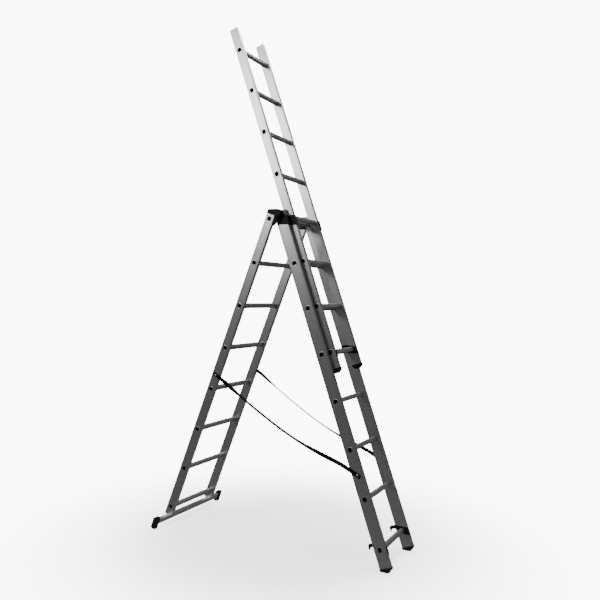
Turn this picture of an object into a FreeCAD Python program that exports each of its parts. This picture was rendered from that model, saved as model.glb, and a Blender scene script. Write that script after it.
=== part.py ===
"""Three-section aluminium combination ladder, set up as a step ladder with a raised top section.

Frame: X runs along the rungs, Y runs from the climbing side (-Y) to the supporting side (+Y),
Z is up and the floor is Z = 0.  The vertical plane Y = 0 lies midway between the two top rungs.

Each section is drawn in its own upright frame: the origin is on the axis of its lowest rung, Z runs
up the stiles, and Y is positive towards the back of the section (middle and top sections) or
towards the outside of the section (rear section).  Placements then lean the sections over.
"""

import FreeCAD, Part
import math
import os

import Sketcher

V = FreeCAD.Vector
X_AXIS = V(1, 0, 0)
RUNGS = 8
SIDES = (("left", -1), ("right", 1))

# Driving dimensions: millimetres and degrees.
DIMENSIONS = {
    # stance
    "rung_pitch": 280.0,
    "lean_angle": 20.35,
    "apex_half": 32.0,
    "foot_reach": 125.0,
    # widths, from the rear section inwards
    "rear_wide": 453.0,
    "stile_wide": 25.0,
    "nest_rear": 5.0,
    "nest_top": 4.5,
    # stile profiles
    "wall": 1.5,
    "edge_round": 3.0,
    "rear_deep": 58.0,
    "middle_deep": 72.0,
    "top_deep": 58.0,
    # stile lengths above the highest rung and below the lowest one
    "rear_above": 40.0,
    "middle_above": 50.0,
    "top_above": 147.0,
    "rear_below": 61.0,
    "middle_below": 112.0,
    "top_below": 107.0,
    # rungs
    "rung_high": 28.0,
    "rung_deep": 26.0,
    "rung_wall": 1.5,
    "rung_bevel": 5.0,
    "flare_thick": 1.0,
    "flare_lip": 2.0,
    "rung_play": 1.8,
    # hook brackets
    "sheet": 2.5,
    "hook_drop": 3.0,
    "hook_play": 1.2,
    "hook_seat": 0.2,
    "hook_arm": 10.0,
    "throat_round": 7.5,
    "hook_crown": 21.0,
    "hook_tip": 5.0,
    "plate_rise": 9.0,
    "plate_drop": 36.0,
    "plate_slant": 20.0,
    "hook_lip": 12.0,
    # guide brackets at the top of the middle section
    "guide_play": 1.5,
    "guide_lip": 25.0,
    "guide_high": 62.0,
    "guide_rise": 26.8,
    # hinge between the rear and the middle section
    "pivot_back": -12.7,
    "pivot_rise": 14.1,
    "pin_diameter": 8.0,
    "pin_fit": 0.1,
    "pin_head": 16.0,
    "pin_head_thick": 6.0,
    "cap_skin": 1.5,
    "cap_bottom": 28.0,
    "cap_top": 62.0,
    "cap_ease": 6.0,
    "horn_reach": 30.0,
    "horn_deep": 13.0,
    "lug_reach": 24.0,
    "lug_thick": 9.0,
    "hinge_drop": 25.5,
    # feet
    "foot_skin": 1.0,
    "foot_cover": 12.0,
    "sole_bulge": 6.0,
    "sole_centre": 85.6,
    "end_bulge": 5.0,
    "end_centre": 90.0,
    # stabiliser across the foot of the rear section
    "bar_long": 698.0,
    "bar_deep": 20.0,
    "bar_high": 33.0,
    "bar_wall": 2.0,
    "pad_long": 27.0,
    "pad_skin": 3.0,
    "pad_deep": 36.0,
    "pad_rise": 22.0,
    "pad_heel": 2.0,
    "pad_ease": 8.0,
    "bolt_diameter": 8.0,
    "bolt_head": 15.0,
    "bolt_head_high": 5.0,
    "bolt_grip": 25.0,
    "insert_high": 40.0,
    # rivets and straps
    "rivet_diameter": 5.0,
    "rivet_head": 9.0,
    "rivet_rise": 0.6,
    "strap_wide": 25.0,
    "strap_thick": 1.6,
    "strap_rivet_head": 14.0,
    "strap_rivet_rise": 2.0,
    "strap_rear_rise": 94.0,
    "strap_middle_drop": 144.0,
}

doc = FreeCAD.newDocument("CombinationLadder")
sheet = doc.addObject("Spreadsheet::Sheet", "Dims")
for row, (alias, number) in enumerate(DIMENSIONS.items(), start=1):
    sheet.set(f"A{row}", alias)
    sheet.set(f"B{row}", str(number))
    sheet.setAlias(f"B{row}", alias)
doc.recompute()

# Derived sizes, as expressions on the sheet.
SPAN = f"({RUNGS - 1} * Dims.rung_pitch)"
LEAN = "(Dims.lean_angle * 1deg)"
REAR_HALF = "(Dims.rear_wide / 2)"
MIDDLE_HALF = f"({REAR_HALF} - Dims.stile_wide - Dims.nest_rear)"
TOP_HALF = f"({MIDDLE_HALF} - Dims.stile_wide - Dims.nest_top)"
TOP_OFFSET = "(Dims.rung_deep / 2 + Dims.rung_play + Dims.top_deep / 2)"
REAR_OFFSET = "(Dims.rung_deep / 2 + Dims.rung_play + Dims.middle_deep / 2)"
THROAT = "(Dims.rung_high / 2 + Dims.hook_drop + Dims.hook_seat)"
LOWEST_Z = f"(Dims.foot_reach * cos({LEAN}))"
APEX_Z = f"({LOWEST_Z} + {SPAN} * cos({LEAN}))"
SLANT = "tan(Dims.plate_slant * 1deg)"


def size(expression):
    """Value of an expression on the sheet."""
    return float(sheet.evalExpression(expression))


class Section:
    """One ladder section: its sizes as expressions and its place in the world."""

    def __init__(self, name, half, deep, above, below, turn, base_y, base_z):
        self.name = name
        self.half = half
        self.deep = f"Dims.{deep}"
        self.above = f"Dims.{above}"
        self.below = f"Dims.{below}"
        self.turn = turn
        self.base_y = base_y
        self.base_z = base_z


def leaned(y_expression, z_expression):
    """World Y and Z of a point that is given in the middle section's own frame."""
    world_y = (
        f"(-(Dims.apex_half + {SPAN} * sin({LEAN})) + ({y_expression}) * cos({LEAN})"
        f" + ({z_expression}) * sin({LEAN}))"
    )
    world_z = f"({LOWEST_Z} - ({y_expression}) * sin({LEAN}) + ({z_expression}) * cos({LEAN}))"
    return world_y, world_z


rear = Section(
    "rear", REAR_HALF, "rear_deep", "rear_above", "rear_below", 1,
    f"(Dims.apex_half + {SPAN} * sin({LEAN}))", LOWEST_Z,
)
middle = Section(
    "middle", MIDDLE_HALF, "middle_deep", "middle_above", "middle_below", -1,
    *leaned("0", "0"),
)
top = Section(
    "top", TOP_HALF, "top_deep", "top_above", "top_below", -1,
    *leaned(f"-{TOP_OFFSET}", f"{RUNGS // 2} * Dims.rung_pitch - Dims.hook_drop"),
)


def stand(thing, section):
    """Place a document object in the frame of a section."""
    thing.Placement = FreeCAD.Placement(V(0, 0, 0), FreeCAD.Rotation(X_AXIS, 1))
    thing.setExpression("Placement.Base.y", section.base_y)
    thing.setExpression("Placement.Base.z", section.base_z)
    thing.setExpression("Placement.Rotation.Angle", f"{section.turn} * {LEAN}")


def new_body(label, section):
    """Empty body standing in the frame of a section."""
    body = doc.addObject("PartDesign::Body", label)
    body.Label = label
    stand(body, section)
    return body


def origin_item(body, role):
    """One of the body's own origin planes or axes."""
    return next(item for item in body.Origin.OriginFeatures if item.Role == role)


def outline(body, name, role, loops, offset="0"):
    """Sketch of closed straight-sided loops whose corners are bound to expressions."""
    sketch = body.newObject("Sketcher::SketchObject", name)
    sketch.AttachmentSupport = [(origin_item(body, role), "")]
    sketch.MapMode = "FlatFace"
    sketch.setExpression("AttachmentOffset.Base.z", offset)
    for corners in loops:
        first = sketch.GeometryCount
        points = [V(size(x), size(y), 0) for x, y in corners]
        for start, end in zip(points, points[1:] + points[:1]):
            sketch.addGeometry(Part.LineSegment(start, end))
        for index in range(len(corners)):
            following = first + (index + 1) % len(corners)
            sketch.addConstraint(Sketcher.Constraint("Coincident", first + index, 2, following, 1))
        for index, (x, y) in enumerate(corners):
            for kind, expression in (("DistanceX", x), ("DistanceY", y)):
                rule = Sketcher.Constraint(kind, -1, 1, first + index, 1, size(expression))
                number = sketch.addConstraint(rule)
                sketch.setExpression(f"Constraints[{number}]", expression)
    return sketch


def circle(body, name, role, centre, diameter, offset="0"):
    """Sketch of one circle bound to expressions."""
    sketch = body.newObject("Sketcher::SketchObject", name)
    sketch.AttachmentSupport = [(origin_item(body, role), "")]
    sketch.MapMode = "FlatFace"
    sketch.setExpression("AttachmentOffset.Base.z", offset)
    x, y = centre
    sketch.addGeometry(Part.Circle(V(size(x), size(y), 0), V(0, 0, 1), size(diameter) / 2))
    rules = (
        (Sketcher.Constraint("DistanceX", -1, 1, 0, 3, size(x)), x),
        (Sketcher.Constraint("DistanceY", -1, 1, 0, 3, size(y)), y),
        (Sketcher.Constraint("Diameter", 0, size(diameter)), diameter),
    )
    for rule, expression in rules:
        number = sketch.addConstraint(rule)
        sketch.setExpression(f"Constraints[{number}]", expression)
    return sketch


def pad(body, sketch, length, midplane=False):
    """Pad of a sketch along its normal, or evenly about it."""
    feature = body.newObject("PartDesign::Pad", sketch.Name + "_pad")
    feature.Profile = sketch
    feature.Midplane = midplane
    feature.setExpression("Length", length)
    sketch.Visibility = False
    doc.recompute()
    return feature


def pocket(body, sketch, length, midplane=False, reversed_cut=True):
    """Pocket of a sketch, by default along its normal; it has to take something away."""
    before = body.Shape.Volume
    feature = body.newObject("PartDesign::Pocket", sketch.Name + "_cut")
    feature.Profile = sketch
    feature.Midplane = midplane
    feature.Reversed = reversed_cut and not midplane
    feature.setExpression("Length", length)
    sketch.Visibility = False
    doc.recompute()
    if body.Shape.Volume > before - 1e-3:
        raise RuntimeError(f"{feature.Name} cuts nothing")
    return feature


def rectangle(x_low, x_high, y_low, y_high):
    """Corner expressions of an upright rectangle."""
    return [(x_low, y_low), (x_high, y_low), (x_high, y_high), (x_low, y_high)]


def octagon(deep, high, bevel):
    """Corner expressions of a bevelled rectangle about the origin."""
    half_deep = f"({deep}) / 2"
    half_high = f"({high}) / 2"
    return [
        (f"-({half_deep} - {bevel})", f"-{half_high}"),
        (f"{half_deep} - {bevel}", f"-{half_high}"),
        (half_deep, f"-({half_high} - {bevel})"),
        (half_deep, f"{half_high} - {bevel}"),
        (f"{half_deep} - {bevel}", half_high),
        (f"-({half_deep} - {bevel})", half_high),
        (f"-{half_deep}", f"{half_high} - {bevel}"),
        (f"-{half_deep}", f"-({half_high} - {bevel})"),
    ]


def slab(body, name, corners, side, near, far):
    """Pad of a side-view outline between two distances from the middle plane, on one side."""
    start = near if side > 0 else f"-({far})"
    sketch = outline(body, name, "YZ_Plane", [corners], start)
    return pad(body, sketch, f"({far}) - ({near})")


def slot(body, name, corners, side, near, far):
    """Pocket of a side-view outline between two distances from the middle plane."""
    start = near if side > 0 else f"-({far})"
    sketch = outline(body, name, "YZ_Plane", [corners], start)
    return pocket(body, sketch, f"({far}) - ({near})")


def drill(body, name, centre, diameter, side, near, far):
    """Round hole along X between two distances from the middle plane."""
    start = near if side > 0 else f"-({far})"
    sketch = circle(body, name, "YZ_Plane", centre, diameter, start)
    return pocket(body, sketch, f"({far}) - ({near})")


def round_corners(body, feature, corners, radius):
    """Fillet of the edges along X that start at the given side-view corners."""
    names = []
    for number, edge in enumerate(feature.Shape.Edges, start=1):
        start, end = edge.Vertexes[0].Point, edge.Vertexes[-1].Point
        along_x = abs(start.y - end.y) < 1e-6 and abs(start.z - end.z) < 1e-6
        at_corner = any(
            math.hypot(start.y - size(y), start.z - size(z)) < 1e-4 for y, z in corners
        )
        if along_x and at_corner:
            names.append(f"Edge{number}")
    fillet = body.newObject("PartDesign::Fillet", feature.Name + "_round")
    fillet.Base = (feature, names)
    fillet.setExpression("Radius", radius)
    doc.recompute()
    return fillet


def make_stile(section, side_name, side, outer_holes, inner_holes):
    """Closed box extrusion, pierced through both webs for the rungs and through one for each rivet."""
    body = new_body(f"{section.name}_stile_{side_name}", section)
    outer = section.half
    inner = f"({section.half} - Dims.stile_wide)"
    half_deep = f"{section.deep} / 2"
    low, high = (inner, outer) if side > 0 else (f"-{outer}", f"-{inner}")
    shell = rectangle(low, high, f"-{half_deep}", half_deep)
    hollow = rectangle(
        f"{low} + Dims.wall", f"{high} - Dims.wall",
        f"-({half_deep} - Dims.wall)", f"{half_deep} - Dims.wall",
    )
    profile = outline(body, "profile", "XY_Plane", [shell, hollow], f"-{section.below}")
    tube = pad(body, profile, f"{section.below} + {SPAN} + {section.above}")
    webs = (size(outer), size(inner))
    long_edges = [
        f"Edge{number}"
        for number, edge in enumerate(tube.Shape.Edges, start=1)
        if abs(edge.Vertexes[0].X - edge.Vertexes[-1].X) < 1e-6
        and abs(edge.Vertexes[0].Y - edge.Vertexes[-1].Y) < 1e-6
        and abs(abs(edge.Vertexes[0].Y) - size(half_deep)) < 1e-6
        and min(abs(abs(edge.Vertexes[0].X) - web) for web in webs) < 1e-6
    ]
    fillet = body.newObject("PartDesign::Fillet", "long_edges")
    fillet.Base = (tube, long_edges)
    fillet.setExpression("Radius", "Dims.edge_round")
    doc.recompute()
    opening = outline(
        body, "rung_hole", "YZ_Plane",
        [octagon("Dims.rung_deep", "Dims.rung_high", "Dims.rung_bevel")],
    )
    hole = pocket(body, opening, f"2 * {outer} + 2 * Dims.stile_wide", midplane=True)
    row = body.newObject("PartDesign::LinearPattern", "rung_holes")
    row.Originals = [hole]
    row.Direction = (origin_item(body, "Z_Axis"), [""])
    row.setExpression("Length", SPAN)
    row.Occurrences = RUNGS
    body.Tip = row
    doc.recompute()
    for index, (y, z, diameter) in enumerate(outer_holes):
        near = f"({outer} - Dims.wall)"
        drill(body, f"outer_hole_{index}", (y, z), diameter, side, near, outer)
    for index, (y, z, diameter) in enumerate(inner_holes):
        far = f"({inner} + Dims.wall)"
        drill(body, f"inner_hole_{index}", (y, z), diameter, side, inner, far)
    return body


def make_rung(section, number):
    """Hollow bevelled rung through both stiles, with a swaged rim outside each."""
    body = new_body(f"{section.name}_rung_{number}", section)
    level = f"{number - 1} * Dims.rung_pitch"
    body.setExpression(
        "Placement.Base.y",
        f"{section.base_y} - {section.turn} * {level} * sin({LEAN})",
    )
    body.setExpression("Placement.Base.z", f"{section.base_z} + {level} * cos({LEAN})")
    bore = octagon(
        "(Dims.rung_deep - 2 * Dims.rung_wall)", "(Dims.rung_high - 2 * Dims.rung_wall)",
        "(Dims.rung_bevel - 0.6 * Dims.rung_wall)",
    )
    tube = octagon("Dims.rung_deep", "Dims.rung_high", "Dims.rung_bevel")
    profile = outline(body, "profile", "YZ_Plane", [tube, bore])
    pad(body, profile, f"2 * {section.half} + 2 * Dims.flare_thick", midplane=True)
    rim = octagon(
        "(Dims.rung_deep + 2 * Dims.flare_lip)", "(Dims.rung_high + 2 * Dims.flare_lip)",
        "Dims.rung_bevel",
    )
    for side_name, side in SIDES:
        start = section.half if side > 0 else f"-({section.half} + Dims.flare_thick)"
        ring = outline(body, f"rim_{side_name}", "YZ_Plane", [rim, bore], start)
        pad(body, ring, "Dims.flare_thick")
    return body


def hook_corners(section, reach):
    """Side view of a hook plate; Y is positive towards the back of the section."""
    front = f"-{section.deep} / 2"
    near = f"({reach} - Dims.rung_deep / 2 - Dims.hook_play)"
    far = f"({reach} + Dims.rung_deep / 2 + Dims.hook_play)"
    outside = f"({far} + Dims.hook_arm)"
    crown = f"({THROAT} + Dims.hook_crown)"
    shoulder = f"(Dims.plate_rise + ({near} - ({front})) * {SLANT})"
    heel = f"(-Dims.plate_drop + ({near} - ({front})) * {SLANT})"
    return {
        "front_low": (front, "-Dims.plate_drop"),
        "heel": (near, heel),
        "throat_near": (near, THROAT),
        "throat_far": (far, THROAT),
        "tip_inside": (far, "Dims.hook_tip"),
        "tip_outside": (outside, "Dims.hook_tip"),
        "crown_low": (outside, f"({crown} - Dims.hook_arm)"),
        "crown_far": (f"({outside} - Dims.hook_arm)", crown),
        "crown_near": (near, f"max({crown}; {shoulder})"),
        "front_high": (front, "Dims.plate_rise"),
    }


def make_hook(section, side_name, side, reach):
    """Steel plate inside a stile, folded round its front, with a hook for the next section."""
    body = new_body(f"{section.name}_hook_{side_name}", section)
    corners = hook_corners(section, reach)
    outer = f"({section.half} - Dims.stile_wide)"
    inner = f"({outer} - Dims.sheet)"
    plate = slab(body, "plate", list(corners.values()), side, inner, outer)
    rounded = round_corners(
        body, plate, [corners["throat_near"], corners["throat_far"]], "Dims.throat_round",
    )
    front = f"-{section.deep} / 2"
    lip = [
        (front, "-Dims.plate_drop"),
        (front, "Dims.plate_rise"),
        (f"{front} - Dims.sheet", f"Dims.plate_rise - Dims.sheet * {SLANT}"),
        (f"{front} - Dims.sheet", f"-Dims.plate_drop - Dims.sheet * {SLANT}"),
    ]
    slab(body, "lip", lip, side, inner, f"({outer} + Dims.hook_lip)")
    rung = octagon("Dims.rung_deep", "Dims.rung_high", "Dims.rung_bevel")
    slot(body, "rung_opening", rung, side, inner, outer)
    for index, (y, z) in enumerate(hook_rivets(section)):
        drill(body, f"rivet_hole_{index}", (y, z), "Dims.rivet_diameter", side, inner, outer)
    return body


def hook_rivets(section):
    """Side-view places of the two rivets of a hook plate."""
    return [
        (f"(-{section.deep} / 2 + Dims.rivet_head)", "(-Dims.plate_drop / 3)"),
        (f"({section.deep} / 2 - Dims.rivet_head)", "(Dims.plate_rise + Dims.rivet_head)"),
    ]


def rod(label, y, z, side, near, far, diameter):
    """Cylinder along X between two distances from the middle plane."""
    cylinder = doc.addObject("Part::Cylinder", label)
    cylinder.Placement = FreeCAD.Placement(V(0, 0, 0), FreeCAD.Rotation(V(0, 1, 0), 90))
    cylinder.setExpression("Radius", f"({diameter}) / 2")
    cylinder.setExpression("Height", f"({far}) - ({near})")
    cylinder.setExpression("Placement.Base.x", near if side > 0 else f"-({far})")
    cylinder.setExpression("Placement.Base.y", y)
    cylinder.setExpression("Placement.Base.z", z)
    return cylinder


def headed(label, y, z, side, near, face, far, diameter, head):
    """Shank along X from near to face with a wider head from face to far."""
    fuse = doc.addObject("Part::MultiFuse", label)
    fuse.Shapes = [
        rod(label + "_shank", y, z, side, near, face, diameter),
        rod(label + "_head", y, z, side, face, far, head),
    ]
    return fuse


def group(label, section, members):
    """Several separate solids kept together as one named piece."""
    compound = doc.addObject("Part::Compound", label)
    compound.Label = label
    compound.Links = members
    stand(compound, section)
    return compound


def hook_rivet_holes(section):
    """Rivet holes of a hook plate, for the stile behind it."""
    return [(y, z, "Dims.rivet_diameter") for y, z in hook_rivets(section)]


CHEEK_RIVETS = (
    (f"(-{middle.deep} / 2 + 1.2 * Dims.rivet_head)", f"({SPAN} - 2 * Dims.rivet_head)"),
    (f"({middle.deep} / 2 - 1.1 * Dims.rivet_head)", f"({SPAN} - 1.4 * Dims.rivet_head)"),
)
CAP_RIVETS = (
    (f"({rear.deep} / 4)", f"({SPAN} + (Dims.cap_bottom + Dims.rear_above) / 2)"),
    (f"(-{rear.deep} / 4)", f"({SPAN} + (Dims.cap_bottom + Dims.rear_above) / 2)"),
)
STRAP_REAR = ("0", "(3 * Dims.rung_pitch + Dims.strap_rear_rise)")
STRAP_MIDDLE = ("0", "(2 * Dims.rung_pitch - Dims.strap_middle_drop)")

# The hinge axis as seen from the middle and from the rear section.
PIVOT_MIDDLE = (
    f"((Dims.pivot_back + Dims.apex_half) * cos({LEAN}) - Dims.pivot_rise * sin({LEAN}))",
    f"({SPAN} + (Dims.pivot_back + Dims.apex_half) * sin({LEAN}) + Dims.pivot_rise * cos({LEAN}))",
)
PIVOT_REAR = (
    f"((Dims.pivot_back - Dims.apex_half) * cos({LEAN}) + Dims.pivot_rise * sin({LEAN}))",
    f"({SPAN} - (Dims.pivot_back - Dims.apex_half) * sin({LEAN}) + Dims.pivot_rise * cos({LEAN}))",
)


def guide_band(y_low, y_high):
    """Slanted band of a guide bracket between two depths."""
    def edge(y, rise):
        return (y, f"({SPAN} + {rise} + ({y}) * {SLANT})")

    low = "(Dims.guide_rise - Dims.guide_high)"
    return [
        edge(y_low, low), edge(y_high, low),
        edge(y_high, "Dims.guide_rise"), edge(y_low, "Dims.guide_rise"),
    ]


def make_guide(side_name, side):
    """Folded bracket on the middle stile: hinge cheek outside, guide round the top stile in front."""
    body = new_body(f"middle_guide_{side_name}", middle)
    half_deep = f"{middle.deep} / 2"
    arm_inner = f"({TOP_HALF} + Dims.guide_play)"
    arm_outer = f"({arm_inner} + Dims.sheet)"
    cheek_outer = f"({MIDDLE_HALF} + Dims.sheet)"
    front = f"({TOP_OFFSET} + Dims.top_deep / 2 + Dims.guide_play)"
    web_front = f"-({half_deep} + Dims.sheet)"
    far_front = f"-({front} + Dims.sheet)"
    slab(body, "cheek", guide_band(web_front, half_deep), side, MIDDLE_HALF, cheek_outer)
    slab(body, "web", guide_band(web_front, f"-{half_deep}"), side, arm_inner, cheek_outer)
    slab(body, "arm", guide_band(far_front, f"-{half_deep}"), side, arm_inner, arm_outer)
    lip_inner = f"({arm_outer} - Dims.guide_lip)"
    slab(body, "lip", guide_band(far_front, f"-{front}"), side, lip_inner, arm_outer)
    around = octagon(
        "(Dims.rung_deep + 2 * Dims.flare_lip)", "(Dims.rung_high + 2 * Dims.flare_lip)",
        "Dims.rung_bevel",
    )
    around = [(y, f"({SPAN} + {z})") for y, z in around]
    rim_outer = f"({MIDDLE_HALF} + Dims.flare_thick + Dims.hook_seat)"
    slot(body, "rim_recess", around, side, MIDDLE_HALF, rim_outer)
    drill(body, "pin_hole", PIVOT_MIDDLE, "Dims.pin_diameter", side, MIDDLE_HALF, cheek_outer)
    for index, place in enumerate(CHEEK_RIVETS):
        drill(body, f"rivet_hole_{index}", place, "Dims.rivet_diameter", side, MIDDLE_HALF, cheek_outer)
    return body


def make_hinge_cap(side_name, side):
    """Cast cap on a rear stile with a stop horn, a lug and the hinge plate inside the stile."""
    body = new_body(f"rear_hinge_cap_{side_name}", rear)
    half_deep = f"{rear.deep} / 2"
    skin = f"({half_deep} + Dims.cap_skin)"
    crest = f"({SPAN} + Dims.cap_top + {skin} * {SLANT})"
    pivot_y, pivot_z = PIVOT_REAR
    corners = [
        (skin, f"({SPAN} + Dims.cap_bottom)"),
        (skin, f"({SPAN} + Dims.cap_top - {skin} * {SLANT} - Dims.cap_ease)"),
        (f"({half_deep} - Dims.cap_ease)",
         f"({SPAN} + Dims.cap_top - ({half_deep} - Dims.cap_ease) * {SLANT})"),
        (f"-{skin}", crest),
        (f"-({half_deep} + Dims.horn_reach - Dims.cap_ease)", crest),
        (f"-({half_deep} + Dims.horn_reach)", f"({crest} - Dims.horn_deep)"),
        (f"({pivot_y} - 1.6 * Dims.pin_diameter)", f"({pivot_z} - Dims.pin_diameter)"),
        (f"-({half_deep} + Dims.lug_thick)", f"({SPAN} - Dims.lug_reach)"),
        (f"-{half_deep}", f"({SPAN} - Dims.lug_reach - Dims.cap_ease)"),
        (f"-{half_deep}", f"({SPAN} + Dims.cap_bottom)"),
    ]
    inner = f"({REAR_HALF} - Dims.stile_wide)"
    outer = f"({REAR_HALF} + Dims.cap_skin)"
    tip = f"({half_deep} + Dims.horn_reach)"
    hinge_low = f"({SPAN} - Dims.hinge_drop)"
    plate = [
        (skin, f"({hinge_low} - {skin} * {SLANT})"),
        *corners[1:6],
        (f"-{tip}", f"({hinge_low} + {tip} * {SLANT})"),
    ]
    plate_inner = f"({inner} - Dims.cap_skin)"
    slab(body, "casting", corners, side, inner, outer)
    slab(body, "hinge_plate", plate, side, plate_inner, inner)
    rung = octagon("Dims.rung_deep", "Dims.rung_high", "Dims.rung_bevel")
    rung = [(y, f"({SPAN} + {z})") for y, z in rung]
    slot(body, "rung_opening", rung, side, plate_inner, inner)
    recess = rectangle(
        f"-{half_deep}", half_deep,
        f"({SPAN} + Dims.cap_bottom - 1)", f"({SPAN} + {rear.above})",
    )
    slot(body, "stile_recess", recess, side, inner, REAR_HALF)
    bore = "(Dims.pin_diameter + Dims.pin_fit)"
    drill(body, "pin_bore", PIVOT_REAR, bore, side, plate_inner, outer)
    for index, place in enumerate(CAP_RIVETS):
        drill(body, f"rivet_hole_{index}", place, "Dims.rivet_diameter", side, REAR_HALF, outer)
    return body


def make_sole(section, side_name, side, bulge, centre, on_floor):
    """Rubber end cap of a stile with a rounded sole, cut flat where it stands on the floor."""
    body = new_body(f"{section.name}_foot_{side_name}", section)
    inner = f"({section.half} - Dims.stile_wide - Dims.foot_skin)"
    outer = f"({section.half} + Dims.foot_skin)"
    side_y = f"({section.deep} / 2 + Dims.foot_skin)"
    radius = f"({section.deep} / 2 + {bulge})"
    rim = f"-({section.below} - Dims.foot_cover)"
    start = inner if side > 0 else f"-({outer})"
    disc = circle(body, "disc", "YZ_Plane", ("0", f"-{centre}"), f"2 * {radius}", start)
    pad(body, disc, f"({outer}) - ({inner})")
    above = rectangle(f"-2 * {radius}", f"2 * {radius}", rim, f"2 * {radius}")
    slot(body, "rim", above, side, inner, outer)
    for name, low, high in (
        ("back", side_y, f"2 * {radius}"), ("front", f"-2 * {radius}", f"-{side_y}"),
    ):
        trim = rectangle(low, high, f"-{centre} - 2 * {radius}", rim)
        slot(body, name, trim, side, inner, outer)
    if on_floor:
        slope = f"tan({LEAN})"
        floor = [
            (f"-{radius}", f"(-Dims.foot_reach - {radius} * {slope})"),
            (f"-{radius}", f"(-Dims.foot_reach - 3 * {radius})"),
            (radius, f"(-Dims.foot_reach - 3 * {radius})"),
            (radius, f"(-Dims.foot_reach + {radius} * {slope})"),
        ]
        slot(body, "floor", floor, side, inner, outer)
    recess = rectangle(f"-{section.deep} / 2", f"{section.deep} / 2", f"-{section.below}", f"{rim} + 1")
    slot(
        body, "stile_recess", recess, side,
        f"({inner} + Dims.foot_skin)", f"({outer} - Dims.foot_skin)",
    )
    return body


BAR_TOP = f"-{rear.below}"
BAR_LOW = f"(-{rear.below} - Dims.bar_high)"
BOLT_X = f"({REAR_HALF} - Dims.stile_wide / 2)"


def make_bar():
    """Hollow stabiliser bar across the feet of the rear section."""
    body = new_body("stabiliser_bar", rear)
    half = "Dims.bar_deep / 2"
    loops = [
        rectangle(f"-{half}", half, BAR_LOW, BAR_TOP),
        rectangle(
            f"-({half} - Dims.bar_wall)", f"{half} - Dims.bar_wall",
            f"{BAR_LOW} + Dims.bar_wall", f"{BAR_TOP} - Dims.bar_wall",
        ),
    ]
    pad(body, outline(body, "profile", "YZ_Plane", loops), "Dims.bar_long", midplane=True)
    for side_name, side in SIDES:
        hole = circle(
            body, f"bolt_hole_{side_name}", "XY_Plane", (f"{side} * {BOLT_X}", "0"),
            "Dims.bolt_diameter", BAR_LOW,
        )
        pocket(body, hole, "Dims.bar_high")
    return body


def make_floor_pad(side_name, side):
    """Rubber foot over one end of the stabiliser bar, flat where it stands on the floor."""
    body = new_body(f"stabiliser_foot_{side_name}", rear)
    half = "(Dims.pad_deep / 2)"
    top_edge = f"({BAR_TOP} + Dims.pad_rise)"
    slope = f"tan({LEAN})"
    corners = [
        (f"-{half}", f"(-Dims.foot_reach + {half} * {slope})"),
        ("Dims.pad_heel", f"(-Dims.foot_reach - Dims.pad_heel * {slope})"),
        (half, f"(-Dims.foot_reach + {half} / 3)"),
        (half, f"({BAR_TOP} + Dims.pad_skin)"),
        (f"({half} - Dims.pad_ease)", f"({top_edge} - Dims.pad_ease)"),
        (f"(Dims.pad_ease - {half})", top_edge),
        (f"-{half}", f"({top_edge} - Dims.pad_ease)"),
    ]
    outer = "(Dims.bar_long / 2 + Dims.pad_skin)"
    inner = f"({outer} - Dims.pad_long)"
    slab(body, "block", corners, side, inner, outer)
    recess = rectangle("-Dims.bar_deep / 2", "Dims.bar_deep / 2", BAR_LOW, BAR_TOP)
    slot(body, "bar_recess", recess, side, inner, "(Dims.bar_long / 2)")
    return body


def make_insert(side_name, side):
    """Plastic block inside the end of a rear stile that takes the stabiliser bolt."""
    body = new_body(f"rear_insert_{side_name}", rear)
    half_deep = f"({rear.deep} / 2 - Dims.wall)"
    near = f"({REAR_HALF} - Dims.stile_wide + Dims.wall)"
    far = f"({REAR_HALF} - Dims.wall)"
    block = rectangle(f"-{half_deep}", half_deep, BAR_TOP, f"({BAR_TOP} + Dims.insert_high)")
    slab(body, "block", block, side, near, far)
    hole = circle(
        body, "bolt_hole", "XY_Plane", (f"{side} * {BOLT_X}", "0"), "Dims.bolt_diameter", BAR_TOP,
    )
    pocket(body, hole, "Dims.bolt_grip")
    return body


def upright(label, side, low, high, diameter):
    """Cylinder along the stile on the stabiliser bolt's axis."""
    cylinder = doc.addObject("Part::Cylinder", label)
    cylinder.setExpression("Radius", f"({diameter}) / 2")
    cylinder.setExpression("Height", f"({high}) - ({low})")
    cylinder.setExpression("Placement.Base.x", f"{side} * {BOLT_X}")
    cylinder.setExpression("Placement.Base.z", low)
    return cylinder


def make_bolt(side_name, side):
    """Bolt up through the stabiliser bar into the stile insert."""
    fuse = doc.addObject("Part::MultiFuse", f"stabiliser_bolt_{side_name}")
    name = fuse.Name
    fuse.Shapes = [
        upright(name + "_shank", side, BAR_LOW, f"({BAR_TOP} + Dims.bolt_grip)", "Dims.bolt_diameter"),
        upright(name + "_head", side, f"({BAR_LOW} - Dims.bolt_head_high)", BAR_LOW, "Dims.bolt_head"),
    ]
    return fuse


def hook_rivet_set(section, side_name, side):
    """Rivets that hold one hook plate, heads on its inner face."""
    web = f"({section.half} - Dims.stile_wide)"
    face = f"({web} - Dims.sheet)"
    head = f"({face} - Dims.rivet_rise)"
    members = []
    for index, (y, z) in enumerate(hook_rivets(section)):
        label = f"{section.name}_hook_rivet_{side_name}_{index}"
        fuse = doc.addObject("Part::MultiFuse", label)
        fuse.Shapes = [
            rod(label + "_shank", y, z, side, face, f"({web} + Dims.wall)", "Dims.rivet_diameter"),
            rod(label + "_head", y, z, side, head, face, "Dims.rivet_head"),
        ]
        members.append(fuse)
    return members


def web_rivets(label, half, cover, places, side_name, side, diameter, head, rise):
    """Rivets through a cover and the outer web of a stile, heads outside."""
    face = f"({half} + {cover})"
    return [
        headed(
            f"{label}_{side_name}_{index}", y, z, side,
            f"({half} - Dims.wall)", face, f"({face} + {rise})", diameter, head,
        )
        for index, (y, z) in enumerate(places)
    ]


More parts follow.
